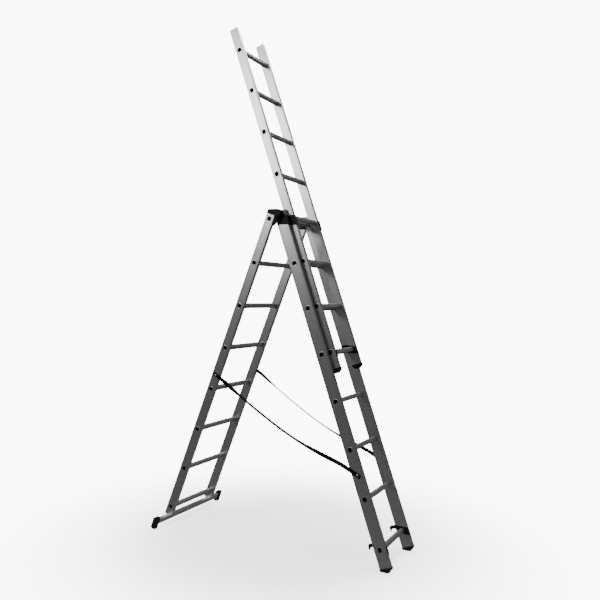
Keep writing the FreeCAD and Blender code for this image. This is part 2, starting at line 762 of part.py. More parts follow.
# Each strap hangs in slack bends from the rear rivet to the middle one: how far along the straight
# line between them, and how far below it, as shares of that line's length.
STRAP_HANG = (
    (-0.0173, -0.0028),
    (0.0506, -0.0007),
    (0.151, 0.0121),
    (0.261, 0.0231),
    (0.376, 0.0316),
    (0.4939, 0.0376),
    (0.6076, 0.0374),
    (0.7179, 0.0284),
    (0.8249, 0.0128),
    (0.9223, -0.0011),
    (1.0181, 0.0005),
)
STRAP_FLAT = 1


def on_stile(section, spot):
    """World point on the middle plane of a section at a side-view spot."""
    place = FreeCAD.Placement(
        V(0, size(section.base_y), size(section.base_z)),
        FreeCAD.Rotation(X_AXIS, section.turn * size("Dims.lean_angle")),
    )
    return place.multVec(V(0, size(spot[0]), size(spot[1])))


def strap_points(side):
    """Route in space: flat on the rear stile, easing inwards, then flat on the middle stile."""
    wide = size(REAR_HALF) + size("Dims.strap_thick") / 2
    narrow = size(MIDDLE_HALF) + size("Dims.strap_thick") / 2
    upper, lower = on_stile(rear, STRAP_REAR), on_stile(middle, STRAP_MIDDLE)
    span = lower - upper
    below = X_AXIS.cross(span).normalize() * span.Length
    route = [upper + span * along + below * sag for along, sag in STRAP_HANG]
    start_y, end_y = route[STRAP_FLAT].y, route[-1 - STRAP_FLAT].y
    for point in route:
        share = min(max((start_y - point.y) / (start_y - end_y), 0.0), 1.0)
        point.x = side * (wide + (narrow - wide) * share)
    return route


def bent_route(points):
    """Straight runs joined by tangent arcs; also the length and the arc radii."""
    edges, radii = [], []
    previous = points[0]
    for before, corner, after in zip(points, points[1:], points[2:]):
        into = (corner - before).normalize()
        out = (after - corner).normalize()
        turn = into.getAngle(out)
        reach = 0.45 * min((corner - before).Length, (after - corner).Length)
        radii.append(reach / math.tan(turn / 2))
        start = corner - into * reach
        end = corner + out * reach
        middle_point = corner + (out - into).normalize() * (
            radii[-1] / math.cos(turn / 2) - radii[-1]
        )
        edges.append(Part.LineSegment(previous, start).toShape())
        edges.append(Part.Arc(start, middle_point, end).toShape())
        previous = end
    edges.append(Part.LineSegment(previous, points[-1]).toShape())
    return Part.Wire(edges), sum(edge.Length for edge in edges), radii


def make_strap(side_name, side):
    """Flat webbing strap between the rear and the middle stile, holed for its two rivets."""
    wire, length, radii = bent_route(strap_points(side))
    start = wire.Edges[0]
    along = start.tangentAt(start.FirstParameter)
    across = along.cross(X_AXIS).normalize()
    flat = along.cross(across).normalize()
    wide = size("Dims.strap_wide") / 2
    thick = size("Dims.strap_thick") / 2
    origin = start.Vertexes[0].Point
    signs = ((1, 1), (-1, 1), (-1, -1), (1, -1), (1, 1))
    ring = Part.makePolygon([origin + across * (a * wide) + flat * (b * thick) for a, b in signs])
    sweep = Part.BRepOffsetAPI.MakePipeShell(wire)
    sweep.setBiNormalMode(X_AXIS)
    sweep.add(ring)
    sweep.build()
    sweep.makeSolid()
    solid = sweep.shape()
    print(
        f"strap_{side_name}: length {length:.1f}, radii {min(radii):.0f} to {max(radii):.0f},"
        f" volume {solid.Volume / (4 * wide * thick * length):.4f} of section times length"
    )
    shank = size("Dims.rivet_diameter") / 2
    for section, spot in ((rear, STRAP_REAR), (middle, STRAP_MIDDLE)):
        centre = on_stile(section, spot)
        centre.x = side * (size(section.half) - wide)
        solid = solid.cut(Part.makeCylinder(shank, 2 * wide, centre, X_AXIS * side))
    strap = doc.addObject("Part::Feature", f"strap_{side_name}")
    strap.Label = strap.Name
    strap.Shape = solid
    return strap


pieces = []
rivet_sets = {"rear_rivets": [], "middle_rivets": [], "top_rivets": []}
hinge_pins, rear_strap_rivets, middle_strap_rivets, bolts = [], [], [], []
strap_hole_rear = (*STRAP_REAR, "Dims.rivet_diameter")
strap_hole_middle = (*STRAP_MIDDLE, "Dims.rivet_diameter")
cheek_holes = [(y, z, "Dims.rivet_diameter") for y, z in CHEEK_RIVETS]
cap_holes = [(y, z, "Dims.rivet_diameter") for y, z in CAP_RIVETS]
pin_hole = (*PIVOT_MIDDLE, "Dims.pin_diameter")
for side_name, side in SIDES:
    pieces.append(make_stile(rear, side_name, side, [strap_hole_rear, *cap_holes], []))
    pieces.append(
        make_stile(
            middle, side_name, side,
            [strap_hole_middle, pin_hole, *cheek_holes], hook_rivet_holes(middle),
        )
    )
    pieces.append(make_stile(top, side_name, side, [], hook_rivet_holes(top)))
    pieces.append(make_hinge_cap(side_name, side))
    pieces.append(make_insert(side_name, side))
    pieces.append(make_floor_pad(side_name, side))
    pieces.append(make_guide(side_name, side))
    pieces.append(make_hook(middle, side_name, side, REAR_OFFSET))
    pieces.append(make_hook(top, side_name, side, TOP_OFFSET))
    pieces.append(
        make_sole(middle, side_name, side, "Dims.sole_bulge", "Dims.sole_centre", on_floor=True)
    )
    pieces.append(
        make_sole(top, side_name, side, "Dims.end_bulge", "Dims.end_centre", on_floor=False)
    )
    pieces.append(make_strap(side_name, side))
    rivet_sets["middle_rivets"] += hook_rivet_set(middle, side_name, side)
    rivet_sets["middle_rivets"] += web_rivets(
        "cheek_rivet", MIDDLE_HALF, "Dims.sheet", CHEEK_RIVETS, side_name, side,
        "Dims.rivet_diameter", "Dims.rivet_head", "Dims.rivet_rise",
    )
    rivet_sets["top_rivets"] += hook_rivet_set(top, side_name, side)
    rivet_sets["rear_rivets"] += web_rivets(
        "cap_rivet", REAR_HALF, "Dims.cap_skin", CAP_RIVETS, side_name, side,
        "Dims.rivet_diameter", "Dims.rivet_head", "Dims.rivet_rise",
    )
    rear_strap_rivets += web_rivets(
        "strap_rivet_rear", REAR_HALF, "Dims.strap_thick", [STRAP_REAR], side_name, side,
        "Dims.rivet_diameter", "Dims.strap_rivet_head", "Dims.strap_rivet_rise",
    )
    middle_strap_rivets += web_rivets(
        "strap_rivet_middle", MIDDLE_HALF, "Dims.strap_thick", [STRAP_MIDDLE], side_name, side,
        "Dims.rivet_diameter", "Dims.strap_rivet_head", "Dims.strap_rivet_rise",
    )
    pin_face = f"({REAR_HALF} + Dims.cap_skin + 3 * Dims.pin_fit)"
    hinge_pins.append(
        headed(
            f"hinge_pin_{side_name}", *PIVOT_MIDDLE, side,
            f"({MIDDLE_HALF} - Dims.wall)", pin_face, f"({pin_face} + Dims.pin_head_thick)",
            "Dims.pin_diameter", "Dims.pin_head",
        )
    )
    bolts.append(make_bolt(side_name, side))

for section in (rear, middle, top):
    for number in range(1, RUNGS + 1):
        pieces.append(make_rung(section, number))
pieces.append(make_bar())
pieces.append(group("rear_rivets", rear, rivet_sets["rear_rivets"]))
pieces.append(group("middle_rivets", middle, rivet_sets["middle_rivets"]))
pieces.append(group("top_rivets", top, rivet_sets["top_rivets"]))
pieces.append(group("rear_strap_rivets", rear, rear_strap_rivets))
pieces.append(group("middle_strap_rivets", middle, middle_strap_rivets))
pieces.append(group("hinge_pins", middle, hinge_pins))
pieces.append(group("stabiliser_bolts", rear, bolts))

doc.recompute()
for thing in doc.Objects:
    if "Invalid" in thing.State or "Error" in thing.State:
        raise RuntimeError(f"{thing.Name} did not compute: {thing.State}")
for piece in pieces:
    if piece.Shape.isNull() or not piece.Shape.isValid():
        raise RuntimeError(f"{piece.Label} has no valid shape")

os.makedirs("parts", exist_ok=True)
for piece in pieces:
    piece.Shape.exportStep(f"parts/{piece.Label}.step")
print(f"{len(pieces)} pieces written")
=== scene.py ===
"""Looks of a three-section aluminium combination ladder, set up as a step ladder.

The ladder has a rear section with a stabiliser bar, a middle section hinged to it and a top section
that hangs on the middle one by hooks.  Two webbing straps keep the stance from spreading.  All sizes
are metres in the frame of the CAD part: X along the rungs, Y from the climbing side to the rear, Z up.
"""

from __future__ import annotations

import logging
import math
from collections.abc import Iterable, Sequence
from dataclasses import dataclass
from enum import Enum
from typing import ClassVar

import bmesh
import bpy
from mathutils import Matrix, Vector


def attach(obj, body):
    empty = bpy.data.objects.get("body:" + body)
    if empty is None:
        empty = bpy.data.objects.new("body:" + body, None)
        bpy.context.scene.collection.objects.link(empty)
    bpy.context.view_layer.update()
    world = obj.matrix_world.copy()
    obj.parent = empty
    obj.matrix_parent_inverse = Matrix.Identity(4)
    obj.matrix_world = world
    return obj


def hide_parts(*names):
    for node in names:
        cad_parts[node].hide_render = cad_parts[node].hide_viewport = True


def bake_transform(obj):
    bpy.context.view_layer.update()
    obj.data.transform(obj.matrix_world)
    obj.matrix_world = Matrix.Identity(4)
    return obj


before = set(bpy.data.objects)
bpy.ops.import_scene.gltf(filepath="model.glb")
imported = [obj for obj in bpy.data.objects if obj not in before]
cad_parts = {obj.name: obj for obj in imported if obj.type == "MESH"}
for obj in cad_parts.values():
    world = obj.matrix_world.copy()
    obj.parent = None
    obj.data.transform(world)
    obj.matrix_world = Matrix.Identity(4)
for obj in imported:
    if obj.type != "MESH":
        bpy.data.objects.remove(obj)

LOG = logging.getLogger("ladder")
SIDES = (("left", -1), ("right", 1))
STRAP_TWIST = {"left": math.radians(82.0), "right": math.radians(48.0)}
SATIN_TINT = (0.985, 0.99, 1.0)
# widths of the broken edges, by kind of piece
PLATE_EDGE = 0.0009
CAP_EDGE = 0.0022
BAR_EDGE = 0.0015
BAR_FOOT_EDGE = 0.0028
FOOT_EDGE = 0.0025
BOLT_EDGE = 0.0006
PIN_EDGE = 0.0012
Point2 = tuple[float, float]


class Slot(Enum):
    """Material slots of the part."""

    STILE = "stile_aluminium"
    RUNG = "rung_aluminium"
    CASTING = "black_casting"
    STEEL = "black_steel"
    PLASTIC = "grey_plastic"
    RUBBER = "foot_rubber"
    WEBBING = "webbing"
    FASTENER = "fastener_steel"


class BodyName(Enum):
    """Rigid bodies of the part."""

    REAR = "rear_section"
    MIDDLE = "middle_section"
    TOP = "top_section"


# ----------------------------------------------------------------------------------------------
# Node trees
# ----------------------------------------------------------------------------------------------


class Graph:
    """A node tree with one way of adding nodes."""

    def __init__(self, tree: bpy.types.NodeTree) -> None:
        """Keep the tree that nodes are added to."""
        self.tree = tree

    def feed(self, socket: bpy.types.NodeSocket, value: object) -> None:
        """Link or set one input socket.

        Args:
            socket: The input that receives the value.
            value: A Signal or an output socket to link, or a plain value to set.
        """
        if isinstance(value, Signal):
            value = value.socket
        if isinstance(value, bpy.types.NodeSocket):
            self.tree.links.new(value, socket)
        else:
            socket.default_value = value

    def node(
        self,
        kind: str,
        settings: dict[str, object] | None = None,
        values: dict[str | int, object] | None = None,
    ) -> bpy.types.Node:
        """Add a node, set its properties first and then its sockets.

        Args:
            kind: Node type.
            settings: Properties by name; ``stops`` fills a colour ramp with (position, grey) pairs.
            values: Values or links by input name or index.

        Returns:
            The new node.
        """
        made = self.tree.nodes.new(kind)
        for name, value in (settings or {}).items():
            if name == "stops":
                elements = made.color_ramp.elements
                while len(elements) < len(value):
                    elements.new(1.0)
                for element, (position, grey) in zip(elements, value):
                    element.position = position
                    element.color = (grey, grey, grey, 1.0)
            else:
                setattr(made, name, value)
        for key, value in (values or {}).items():
            self.feed(made.inputs[key], value)
        return made

    def signal(
        self,
        kind: str,
        settings: dict[str, object] | None = None,
        values: dict[str | int, object] | None = None,
        output: str | int = 0,
    ) -> Signal:
        """Add a node and wrap one of its outputs.

        Args:
            kind: Node type.
            settings: Properties by name.
            values: Values or links by input name or index.
            output: Name or index of the output.

        Returns:
            The wrapped output.
        """
        return Signal(self, self.node(kind, settings, values).outputs[output])


@dataclass(frozen=True)
class Signal:
    """An output socket that takes part in arithmetic."""

    graph: Graph
    socket: bpy.types.NodeSocket

    def math(self, operation: str, first: object, second: object | None = None) -> Signal:
        """Add a Math node.

        Args:
            operation: Name of the operation.
            first: First operand.
            second: Second operand, if the operation has one.

        Returns:
            The result.
        """
        values = {0: first} if second is None else {0: first, 1: second}
        return self.graph.signal("ShaderNodeMath", {"operation": operation}, values)

    def __add__(self, other: object) -> Signal:
        """Sum."""
        return self.math("ADD", self, other)

    def __radd__(self, other: object) -> Signal:
        """Sum with the signal on the right."""
        return self.math("ADD", other, self)

    def __sub__(self, other: object) -> Signal:
        """Difference."""
        return self.math("SUBTRACT", self, other)

    def __rsub__(self, other: object) -> Signal:
        """Difference with the signal on the right."""
        return self.math("SUBTRACT", other, self)

    def __mul__(self, other: object) -> Signal:
        """Product."""
        return self.math("MULTIPLY", self, other)

    def __rmul__(self, other: object) -> Signal:
        """Product with the signal on the right."""
        return self.math("MULTIPLY", other, self)

    def sine(self) -> Signal:
        """Sine of the signal."""
        return self.math("SINE", self)

    def size(self) -> Signal:
        """Absolute value of the signal."""
        return self.math("ABSOLUTE", self)


# ----------------------------------------------------------------------------------------------
# Finishes
# ----------------------------------------------------------------------------------------------


@dataclass(frozen=True)
class Finish:
    """A surface finish: flat constants plus what its pattern does to them."""

    name: str
    grey: float
    roughness: float
    metallic: float = 0.0
    coat: float = 0.0
    specular: float = 0.5
    tint: tuple[float, float, float] = (1.0, 1.0, 1.0)

    def colour(self, share: float) -> tuple[float, float, float, float]:
        """Base colour, scaled by a share of the finish's grey."""
        red, green, blue = (self.grey * share * part for part in self.tint)
        return (red, green, blue, 1.0)

    def begin(self) -> tuple[bpy.types.Material, Graph, bpy.types.Node]:
        """Start a material with its constants on the shader's own sockets.

        Returns:
            The material, its graph and its surface shader.
        """
        material = bpy.data.materials.new(self.name)
        material.use_nodes = True
        graph = Graph(material.node_tree)
        graph.tree.nodes.clear()
        shader = graph.node(
            "ShaderNodeBsdfPrincipled",
            values={
                "Base Color": self.colour(1.0),
                "Metallic": self.metallic,
                "Roughness": self.roughness,
                "Coat Weight": self.coat,
                "Specular IOR Level": self.specular,
            },
        )
        graph.node("ShaderNodeOutputMaterial", values={"Surface": shader.outputs["BSDF"]})
        return material, graph, shader

    def shade(
        self, graph: Graph, shader: bpy.types.Node, pattern: Signal,
        dark: float, light: float, rough_swing: float, relief: Signal, depth: float,
    ) -> None:
        """Let a pattern vary the colour, the roughness and the relief.

        Args:
            graph: The material's graph.
            shader: The material's surface shader.
            pattern: Value from 0 to 1 over the surface.
            dark: Share of the grey where the pattern is 0.
            light: Share of the grey where the pattern is 1.
            rough_swing: Change of roughness from pattern 0 to pattern 1.
            relief: Height over the surface, 0 to 1.
            depth: Height of the relief in metres.
        """
        mixed = graph.signal(
            "ShaderNodeMix", {"data_type": "RGBA"},
            {"Factor": pattern, 6: self.colour(dark), 7: self.colour(light)}, output=2,
        )
        graph.feed(shader.inputs["Base Color"], mixed)
        graph.feed(shader.inputs["Roughness"], pattern * rough_swing + (self.roughness - rough_swing / 2))
        bump = graph.signal("ShaderNodeBump", values={"Distance": depth, "Height": relief})
        graph.feed(shader.inputs["Normal"], bump)


@dataclass(frozen=True)
class DrawnMetal(Finish):
    """Extruded metal with fine lines along its length."""

    stretch: tuple[float, float, float] = (420.0, 420.0, 1.6)
    line_depth: float = 0.00006
    line_share: float = 0.6
    cloud_scale: float = 7.0
    dark: float = 0.93
    light: float = 1.06
    rough_swing: float = 0.12

    def build(self, turn: float) -> bpy.types.Material:
        """Make the material for pieces that lean.

        Args:
            turn: Turn about X, in radians, that stands the piece upright.

        Returns:
            The material.
        """
        material, graph, shader = self.begin()
        place = graph.signal("ShaderNodeTexCoord", output="Object")
        along = graph.signal(
            "ShaderNodeMapping", values={"Vector": place, "Rotation": (turn, 0.0, 0.0)}
        )
        drawn = graph.signal(
            "ShaderNodeMapping", values={"Vector": along, "Scale": self.stretch}
        )
        lines = graph.signal(
            "ShaderNodeTexNoise", {"noise_dimensions": "3D"},
            {"Vector": drawn, "Scale": 1.0, "Detail": 4.0, "Roughness": 0.6},
        )
        clouds = graph.signal(
            "ShaderNodeTexNoise", {"noise_dimensions": "3D"},
            {"Vector": along, "Scale": self.cloud_scale, "Detail": 3.0, "Roughness": 0.55},
        )
        pattern = lines * self.line_share + clouds * (1.0 - self.line_share)
        self.shade(
            graph, shader, pattern, self.dark, self.light, self.rough_swing, lines, self.line_depth
        )
        return material


@dataclass(frozen=True)
class Coated(Finish):
    """Powder coat, moulded plastic or rubber with an even grain."""

    grain: float = 900.0
    grain_depth: float = 0.00012
    wear_scale: float = 35.0
    dark: float = 0.8
    light: float = 1.2
    rough_swing: float = 0.14

    def build(self) -> bpy.types.Material:
        """Make the material.

        Returns:
            The material.
        """
        material, graph, shader = self.begin()
        place = graph.signal("ShaderNodeTexCoord", output="Object")
        grain = graph.signal(
            "ShaderNodeTexNoise", {"noise_dimensions": "3D"},
            {"Vector": place, "Scale": self.grain, "Detail": 2.0, "Roughness": 0.5},
        )
        wear = graph.signal(
            "ShaderNodeTexNoise", {"noise_dimensions": "3D"},
            {"Vector": place, "Scale": self.wear_scale, "Detail": 3.0, "Roughness": 0.6},
        )
        self.shade(
            graph, shader, wear, self.dark, self.light, self.rough_swing, grain, self.grain_depth
        )
        return material


@dataclass(frozen=True)
class Woven(Finish):
    """Herringbone webbing laid out on the strap's own map: across in metres, then along in metres."""

    rib: float = 0.0021
    pick: float = 0.0016
    rib_share: float = 0.55
    weave_depth: float = 0.0002
    dark: float = 0.55
    light: float = 1.35
    rough_swing: float = -0.08

    def build(self) -> bpy.types.Material:
        """Make the material.

        Returns:
            The material.
        """
        material, graph, shader = self.begin()
        layout = graph.signal("ShaderNodeUVMap", {"uv_map": Strap.MAP})
        parts = graph.node("ShaderNodeSeparateXYZ", values={"Vector": layout})
        across, along = Signal(graph, parts.outputs["X"]), Signal(graph, parts.outputs["Y"])
        ribs = (across * (math.tau / self.rib)).sine() * 0.5 + 0.5
        twill = (along * (math.tau / self.pick) + (across * (math.tau / self.rib / 2)).size()).sine()
        weave = ribs * self.rib_share + (twill * 0.5 + 0.5) * (1.0 - self.rib_share)
        self.shade(
            graph, shader, weave, self.dark, self.light, self.rough_swing, weave, self.weave_depth
        )
        return material


class Finishes:
    """All materials, each made once."""

    STILE = DrawnMetal("satin_stile", grey=0.46, roughness=0.32, metallic=0.94, tint=SATIN_TINT)
    RUNG = DrawnMetal(
        "satin_rung", grey=0.46, roughness=0.30, metallic=0.94, tint=SATIN_TINT,
        stretch=(1.6, 380.0, 380.0),
    )
    STEEL = Coated("black_powder_coat", grey=0.0045, roughness=0.5, specular=0.16)
    CASTING = Coated("black_moulding", grey=0.004, roughness=0.52, specular=0.15, grain=650.0)
    RUBBER = Coated(
        "black_rubber", grey=0.005, roughness=0.75, specular=0.12, grain=420.0, grain_depth=0.0002,
    )
    PLASTIC = Coated("grey_insert", grey=0.16, roughness=0.5)
    ZINC = Coated(
        "bright_zinc", grey=0.74, roughness=0.3, metallic=1.0, grain=500.0, grain_depth=0.00002,
    )
    WEBBING = Woven("black_webbing", grey=0.005, roughness=0.9, specular=0.08)

    def __init__(self, leans: dict[BodyName, float]) -> None:
        """Build the materials.

        Args:
            leans: Lean about X of each section, in radians.
        """
        self.stile = {body: self.STILE.build(-lean) for body, lean in leans.items()}
        self.rung = {body: self.RUNG.build(-lean) for body, lean in leans.items()}
        self.steel = self.STEEL.build()
        self.casting = self.CASTING.build()
        self.rubber = self.RUBBER.build()
        self.plastic = self.PLASTIC.build()
        self.zinc = self.ZINC.build()
        self.webbing = self.WEBBING.build()


# ----------------------------------------------------------------------------------------------
# Mesh work
# ----------------------------------------------------------------------------------------------


def new_piece(name: str, mesh: bpy.types.Mesh) -> bpy.types.Object:
    """Link a new object at the origin.

    Args:
        name: Piece name.
        mesh: Its mesh.

    Returns:
        The object.
    """
    piece = bpy.data.objects.new(name, mesh)
    bpy.context.scene.collection.objects.link(piece)
    return piece


def mesh_of(
    name: str, points: Iterable[Sequence[float]], faces: Iterable[Sequence[int]]
) -> bpy.types.Mesh:
    """Make a mesh from points and faces.

    Args:
        name: Mesh name.
        points: Vertex positions.
        faces: Vertex numbers of each face.

    Returns:
        The mesh.
    """
    mesh = bpy.data.meshes.new(name)
    mesh.from_pydata([tuple(point) for point in points], [], [tuple(face) for face in faces])
    mesh.update()
    return mesh


def face_outwards(mesh: bpy.types.Mesh) -> bpy.types.Mesh:
    """Turn all faces of a closed mesh outwards.

    Args:
        mesh: A closed mesh.

    Returns:
        The same mesh.
    """
    work = bmesh.new()
    work.from_mesh(mesh)
    bmesh.ops.recalc_face_normals(work, faces=work.faces)
    work.to_mesh(mesh)
    work.free()
    return mesh


def settle(piece: bpy.types.Object) -> bpy.types.Object:
    """Turn an object's modifiers into its mesh.

    Args:
        piece: Object with modifiers.

    Returns:
        The same object with a plain mesh and no modifiers.
    """
    graph = bpy.context.evaluated_depsgraph_get()
    mesh = bpy.data.meshes.new_from_object(piece.evaluated_get(graph), depsgraph=graph)
    piece.modifiers.clear()
    piece.data = mesh
    return piece


def smooth_by_area(piece: bpy.types.Object, crease: float = 35.0) -> bpy.types.Object:
    """Shade the rounded edges smoothly and keep the flat faces flat.

    Args:
        piece: Mesh object.
        crease: Angle in degrees above which an edge stays sharp.

    Returns:
        The same object.
    """
    piece.data.shade_smooth()
    piece.data.set_sharp_from_angle(angle=math.radians(crease))
    weighted = piece.modifiers.new("face_area", "WEIGHTED_NORMAL")
    weighted.keep_sharp = True
    return settle(piece)


def softened(name: str, node: str, radius: float, crease: float = 38.0) -> bpy.types.Object:
    """Copy of a CAD piece with merged faces and broken edges.

    Args:
        name: Name of the new piece.
        node: CAD node that it copies.
        radius: Width of the broken edges.
        crease: Angle in degrees above which an edge is broken.

    Returns:
        The new object.
    """
    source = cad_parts[node].data
    mesh = mesh_of(name, (v.co for v in source.vertices), (p.vertices for p in source.polygons))
    work = bmesh.new()
    work.from_mesh(mesh)
    bmesh.ops.remove_doubles(work, verts=work.verts, dist=2e-6)
    bmesh.ops.dissolve_limit(
        work, angle_limit=math.radians(0.6), use_dissolve_boundaries=False,
        verts=work.verts, edges=work.edges,
    )
    work.to_mesh(mesh)
    work.free()
    piece = new_piece(name, mesh)
    bevel = piece.modifiers.new("broken_edges", "BEVEL")
    bevel.width = radius
    bevel.segments = 2
    bevel.limit_method = "ANGLE"
    bevel.angle_limit = math.radians(crease)
    bevel.use_clamp_overlap = True
    settle(piece)
    return smooth_by_area(piece, crease)


# ----------------------------------------------------------------------------------------------
# Geometry node trees
# ----------------------------------------------------------------------------------------------


class Repeater:
    """A geometry node tree with named inputs, used as a modifier and then settled."""

    TITLE = "repeater"
    INPUTS: tuple[tuple[str, str], ...] = ()

    def __init__(self) -> None:
        """Build the tree and remember the identifiers of its inputs."""
        self.tree = bpy.data.node_groups.new(self.TITLE, "GeometryNodeTree")
        self.keys: dict[str, str] = {}
        surface = self.tree.interface
        surface.new_socket(name="Geometry", in_out="INPUT", socket_type="NodeSocketGeometry")
        for label, kind in self.INPUTS:
            self.keys[label] = surface.new_socket(name=label, in_out="INPUT", socket_type=kind).identifier
        surface.new_socket(name="Geometry", in_out="OUTPUT", socket_type="NodeSocketGeometry")
        graph = Graph(self.tree)
        source = graph.node("NodeGroupInput")
        result = self.lay_out(graph, source.outputs)
        solid = graph.node("GeometryNodeRealizeInstances", values={"Geometry": result})
        dressed = graph.node(
            "GeometryNodeSetMaterial",
            values={"Geometry": solid.outputs[0], "Material": source.outputs["Finish"]},
        )
        graph.node("NodeGroupOutput", values={"Geometry": dressed.outputs[0]})

    def lay_out(self, graph: Graph, source: bpy.types.NodeOutputs) -> bpy.types.NodeSocket:
        """Build the tree's own part; each repeater has its own.

        Args:
            graph: The tree's graph.
            source: The tree's inputs.

        Returns:
            The geometry.
        """
        raise NotImplementedError

    def run(self, piece: bpy.types.Object, **inputs: object) -> bpy.types.Object:
        """Apply the tree to an object.

        Args:
            piece: Object whose mesh the tree starts from.
            **inputs: Values by input label, with spaces written as underscores.

        Returns:
            The same object with a plain mesh.
        """
        modifier = piece.modifiers.new(self.TITLE, "NODES")
        modifier.node_group = self.tree
        for label, value in inputs.items():
            modifier[self.keys[label.replace("_", " ")]] = value
        return settle(piece)


class RungRow(Repeater):
    """Copies of one rung up a section."""

    TITLE = "rung_row"
    INPUTS = (
        ("Count", "NodeSocketInt"), ("Pitch", "NodeSocketFloat"), ("Finish", "NodeSocketMaterial"),
    )

    def lay_out(self, graph: Graph, source: bpy.types.NodeOutputs) -> bpy.types.NodeSocket:
        """One point per rung, with the rung on each.

        Args:
            graph: The tree's graph.
            source: The tree's inputs.

        Returns:
            The geometry.
        """
        step = graph.node("ShaderNodeCombineXYZ", values={"Z": source["Pitch"]})
        line = graph.node(
            "GeometryNodeMeshLine", {"mode": "OFFSET"},
            {"Count": source["Count"], "Offset": step.outputs[0]},
        )
        row = graph.node(
            "GeometryNodeInstanceOnPoints",
            values={"Points": line.outputs[0], "Instance": source["Geometry"]},
        )
        return row.outputs[0]


class PiercedExtrusion(Repeater):
    """A hollow profile drawn upwards and pierced by a row of equal holes."""

    TITLE = "pierced_extrusion"
    INPUTS = (
        ("Length", "NodeSocketFloat"), ("Count", "NodeSocketInt"), ("Pitch", "NodeSocketFloat"),
        ("Punch", "NodeSocketObject"), ("Finish", "NodeSocketMaterial"),
    )

    def lay_out(self, graph: Graph, source: bpy.types.NodeOutputs) -> bpy.types.NodeSocket:
        """Draw the profile up, close its foot, then take a row of punches out of it.

        Args:
            graph: The tree's graph.
            source: The tree's inputs.

        Returns:
            The geometry.
        """
        rise = graph.node("ShaderNodeCombineXYZ", values={"Z": source["Length"]})
        drawn = graph.node(
            "GeometryNodeExtrudeMesh", {"mode": "FACES"},
            {
                "Mesh": source["Geometry"], "Offset": rise.outputs[0],
                "Offset Scale": 1.0, "Individual": False,
            },
        )
        foot = graph.node("GeometryNodeFlipFaces", values={"Mesh": source["Geometry"]})
        both = graph.node("GeometryNodeJoinGeometry")
        graph.feed(both.inputs[0], drawn.outputs["Mesh"])
        graph.feed(both.inputs[0], foot.outputs[0])
        closed = graph.node(
            "GeometryNodeMergeByDistance", values={"Geometry": both.outputs[0], "Distance": 1e-6}
        )
        punch = graph.node("GeometryNodeObjectInfo", values={"Object": source["Punch"]})
        step = graph.node("ShaderNodeCombineXYZ", values={"Z": source["Pitch"]})
        line = graph.node(
            "GeometryNodeMeshLine", {"mode": "OFFSET"},
            {"Count": source["Count"], "Offset": step.outputs[0]},
        )
        row = graph.node(
            "GeometryNodeInstanceOnPoints",
            values={"Points": line.outputs[0], "Instance": punch.outputs["Geometry"]},
        )
        punches = graph.node("GeometryNodeRealizeInstances", values={"Geometry": row.outputs[0]})
        pierced = graph.node(
            "GeometryNodeMeshBoolean", {"operation": "DIFFERENCE", "solver": "EXACT"},
            {"Mesh 1": closed.outputs[0], "Mesh 2": punches.outputs[0]},
        )
        return pierced.outputs[0]


class RivetField(Repeater):
    """Domed heads on every vertex of a mesh, their axes along X."""

    TITLE = "rivet_field"
    INPUTS = (
        ("Radius", "NodeSocketFloat"), ("Rise", "NodeSocketFloat"), ("Finish", "NodeSocketMaterial"),
    )

    def lay_out(self, graph: Graph, source: bpy.types.NodeOutputs) -> bpy.types.NodeSocket:
        """A flattened ball with a flange on each vertex; half of it lies in the plate.

        Args:
            graph: The tree's graph.
            source: The tree's inputs.

        Returns:
            The geometry.
        """
        ball = graph.node(
            "GeometryNodeMeshUVSphere", values={"Segments": 20, "Rings": 10, "Radius": 1.0}
        )
        flange = graph.node(
            "GeometryNodeMeshCylinder",
            values={"Vertices": 20, "Radius": 1.0, "Depth": 0.5},
        )
        shape = graph.node("GeometryNodeJoinGeometry")
        graph.feed(shape.inputs[0], ball.outputs[0])
        graph.feed(shape.inputs[0], flange.outputs[0])
        size = graph.node(
            "ShaderNodeCombineXYZ",
            values={"X": source["Radius"], "Y": source["Radius"], "Z": source["Rise"]},
        )
        flat = graph.node(
            "GeometryNodeTransform", values={"Geometry": shape.outputs[0], "Scale": size.outputs[0]}
        )
        turned = graph.node(
            "GeometryNodeTransform",
            values={"Geometry": flat.outputs[0], "Rotation": (0.0, math.pi / 2, 0.0)},
        )
        row = graph.node(
            "GeometryNodeInstanceOnPoints",
            values={"Points": source["Geometry"], "Instance": turned.outputs[0]},
        )
        smooth = graph.node("GeometryNodeSetShadeSmooth", values={0: row.outputs[0]})
        return smooth.outputs[0]


# ----------------------------------------------------------------------------------------------
# Profiles
# ----------------------------------------------------------------------------------------------


@dataclass(frozen=True)
class Groove:
    """A shallow lengthwise groove at a place along one side of a profile."""

    centre: float
    half: float = 0.0009
    depth: float = 0.0005


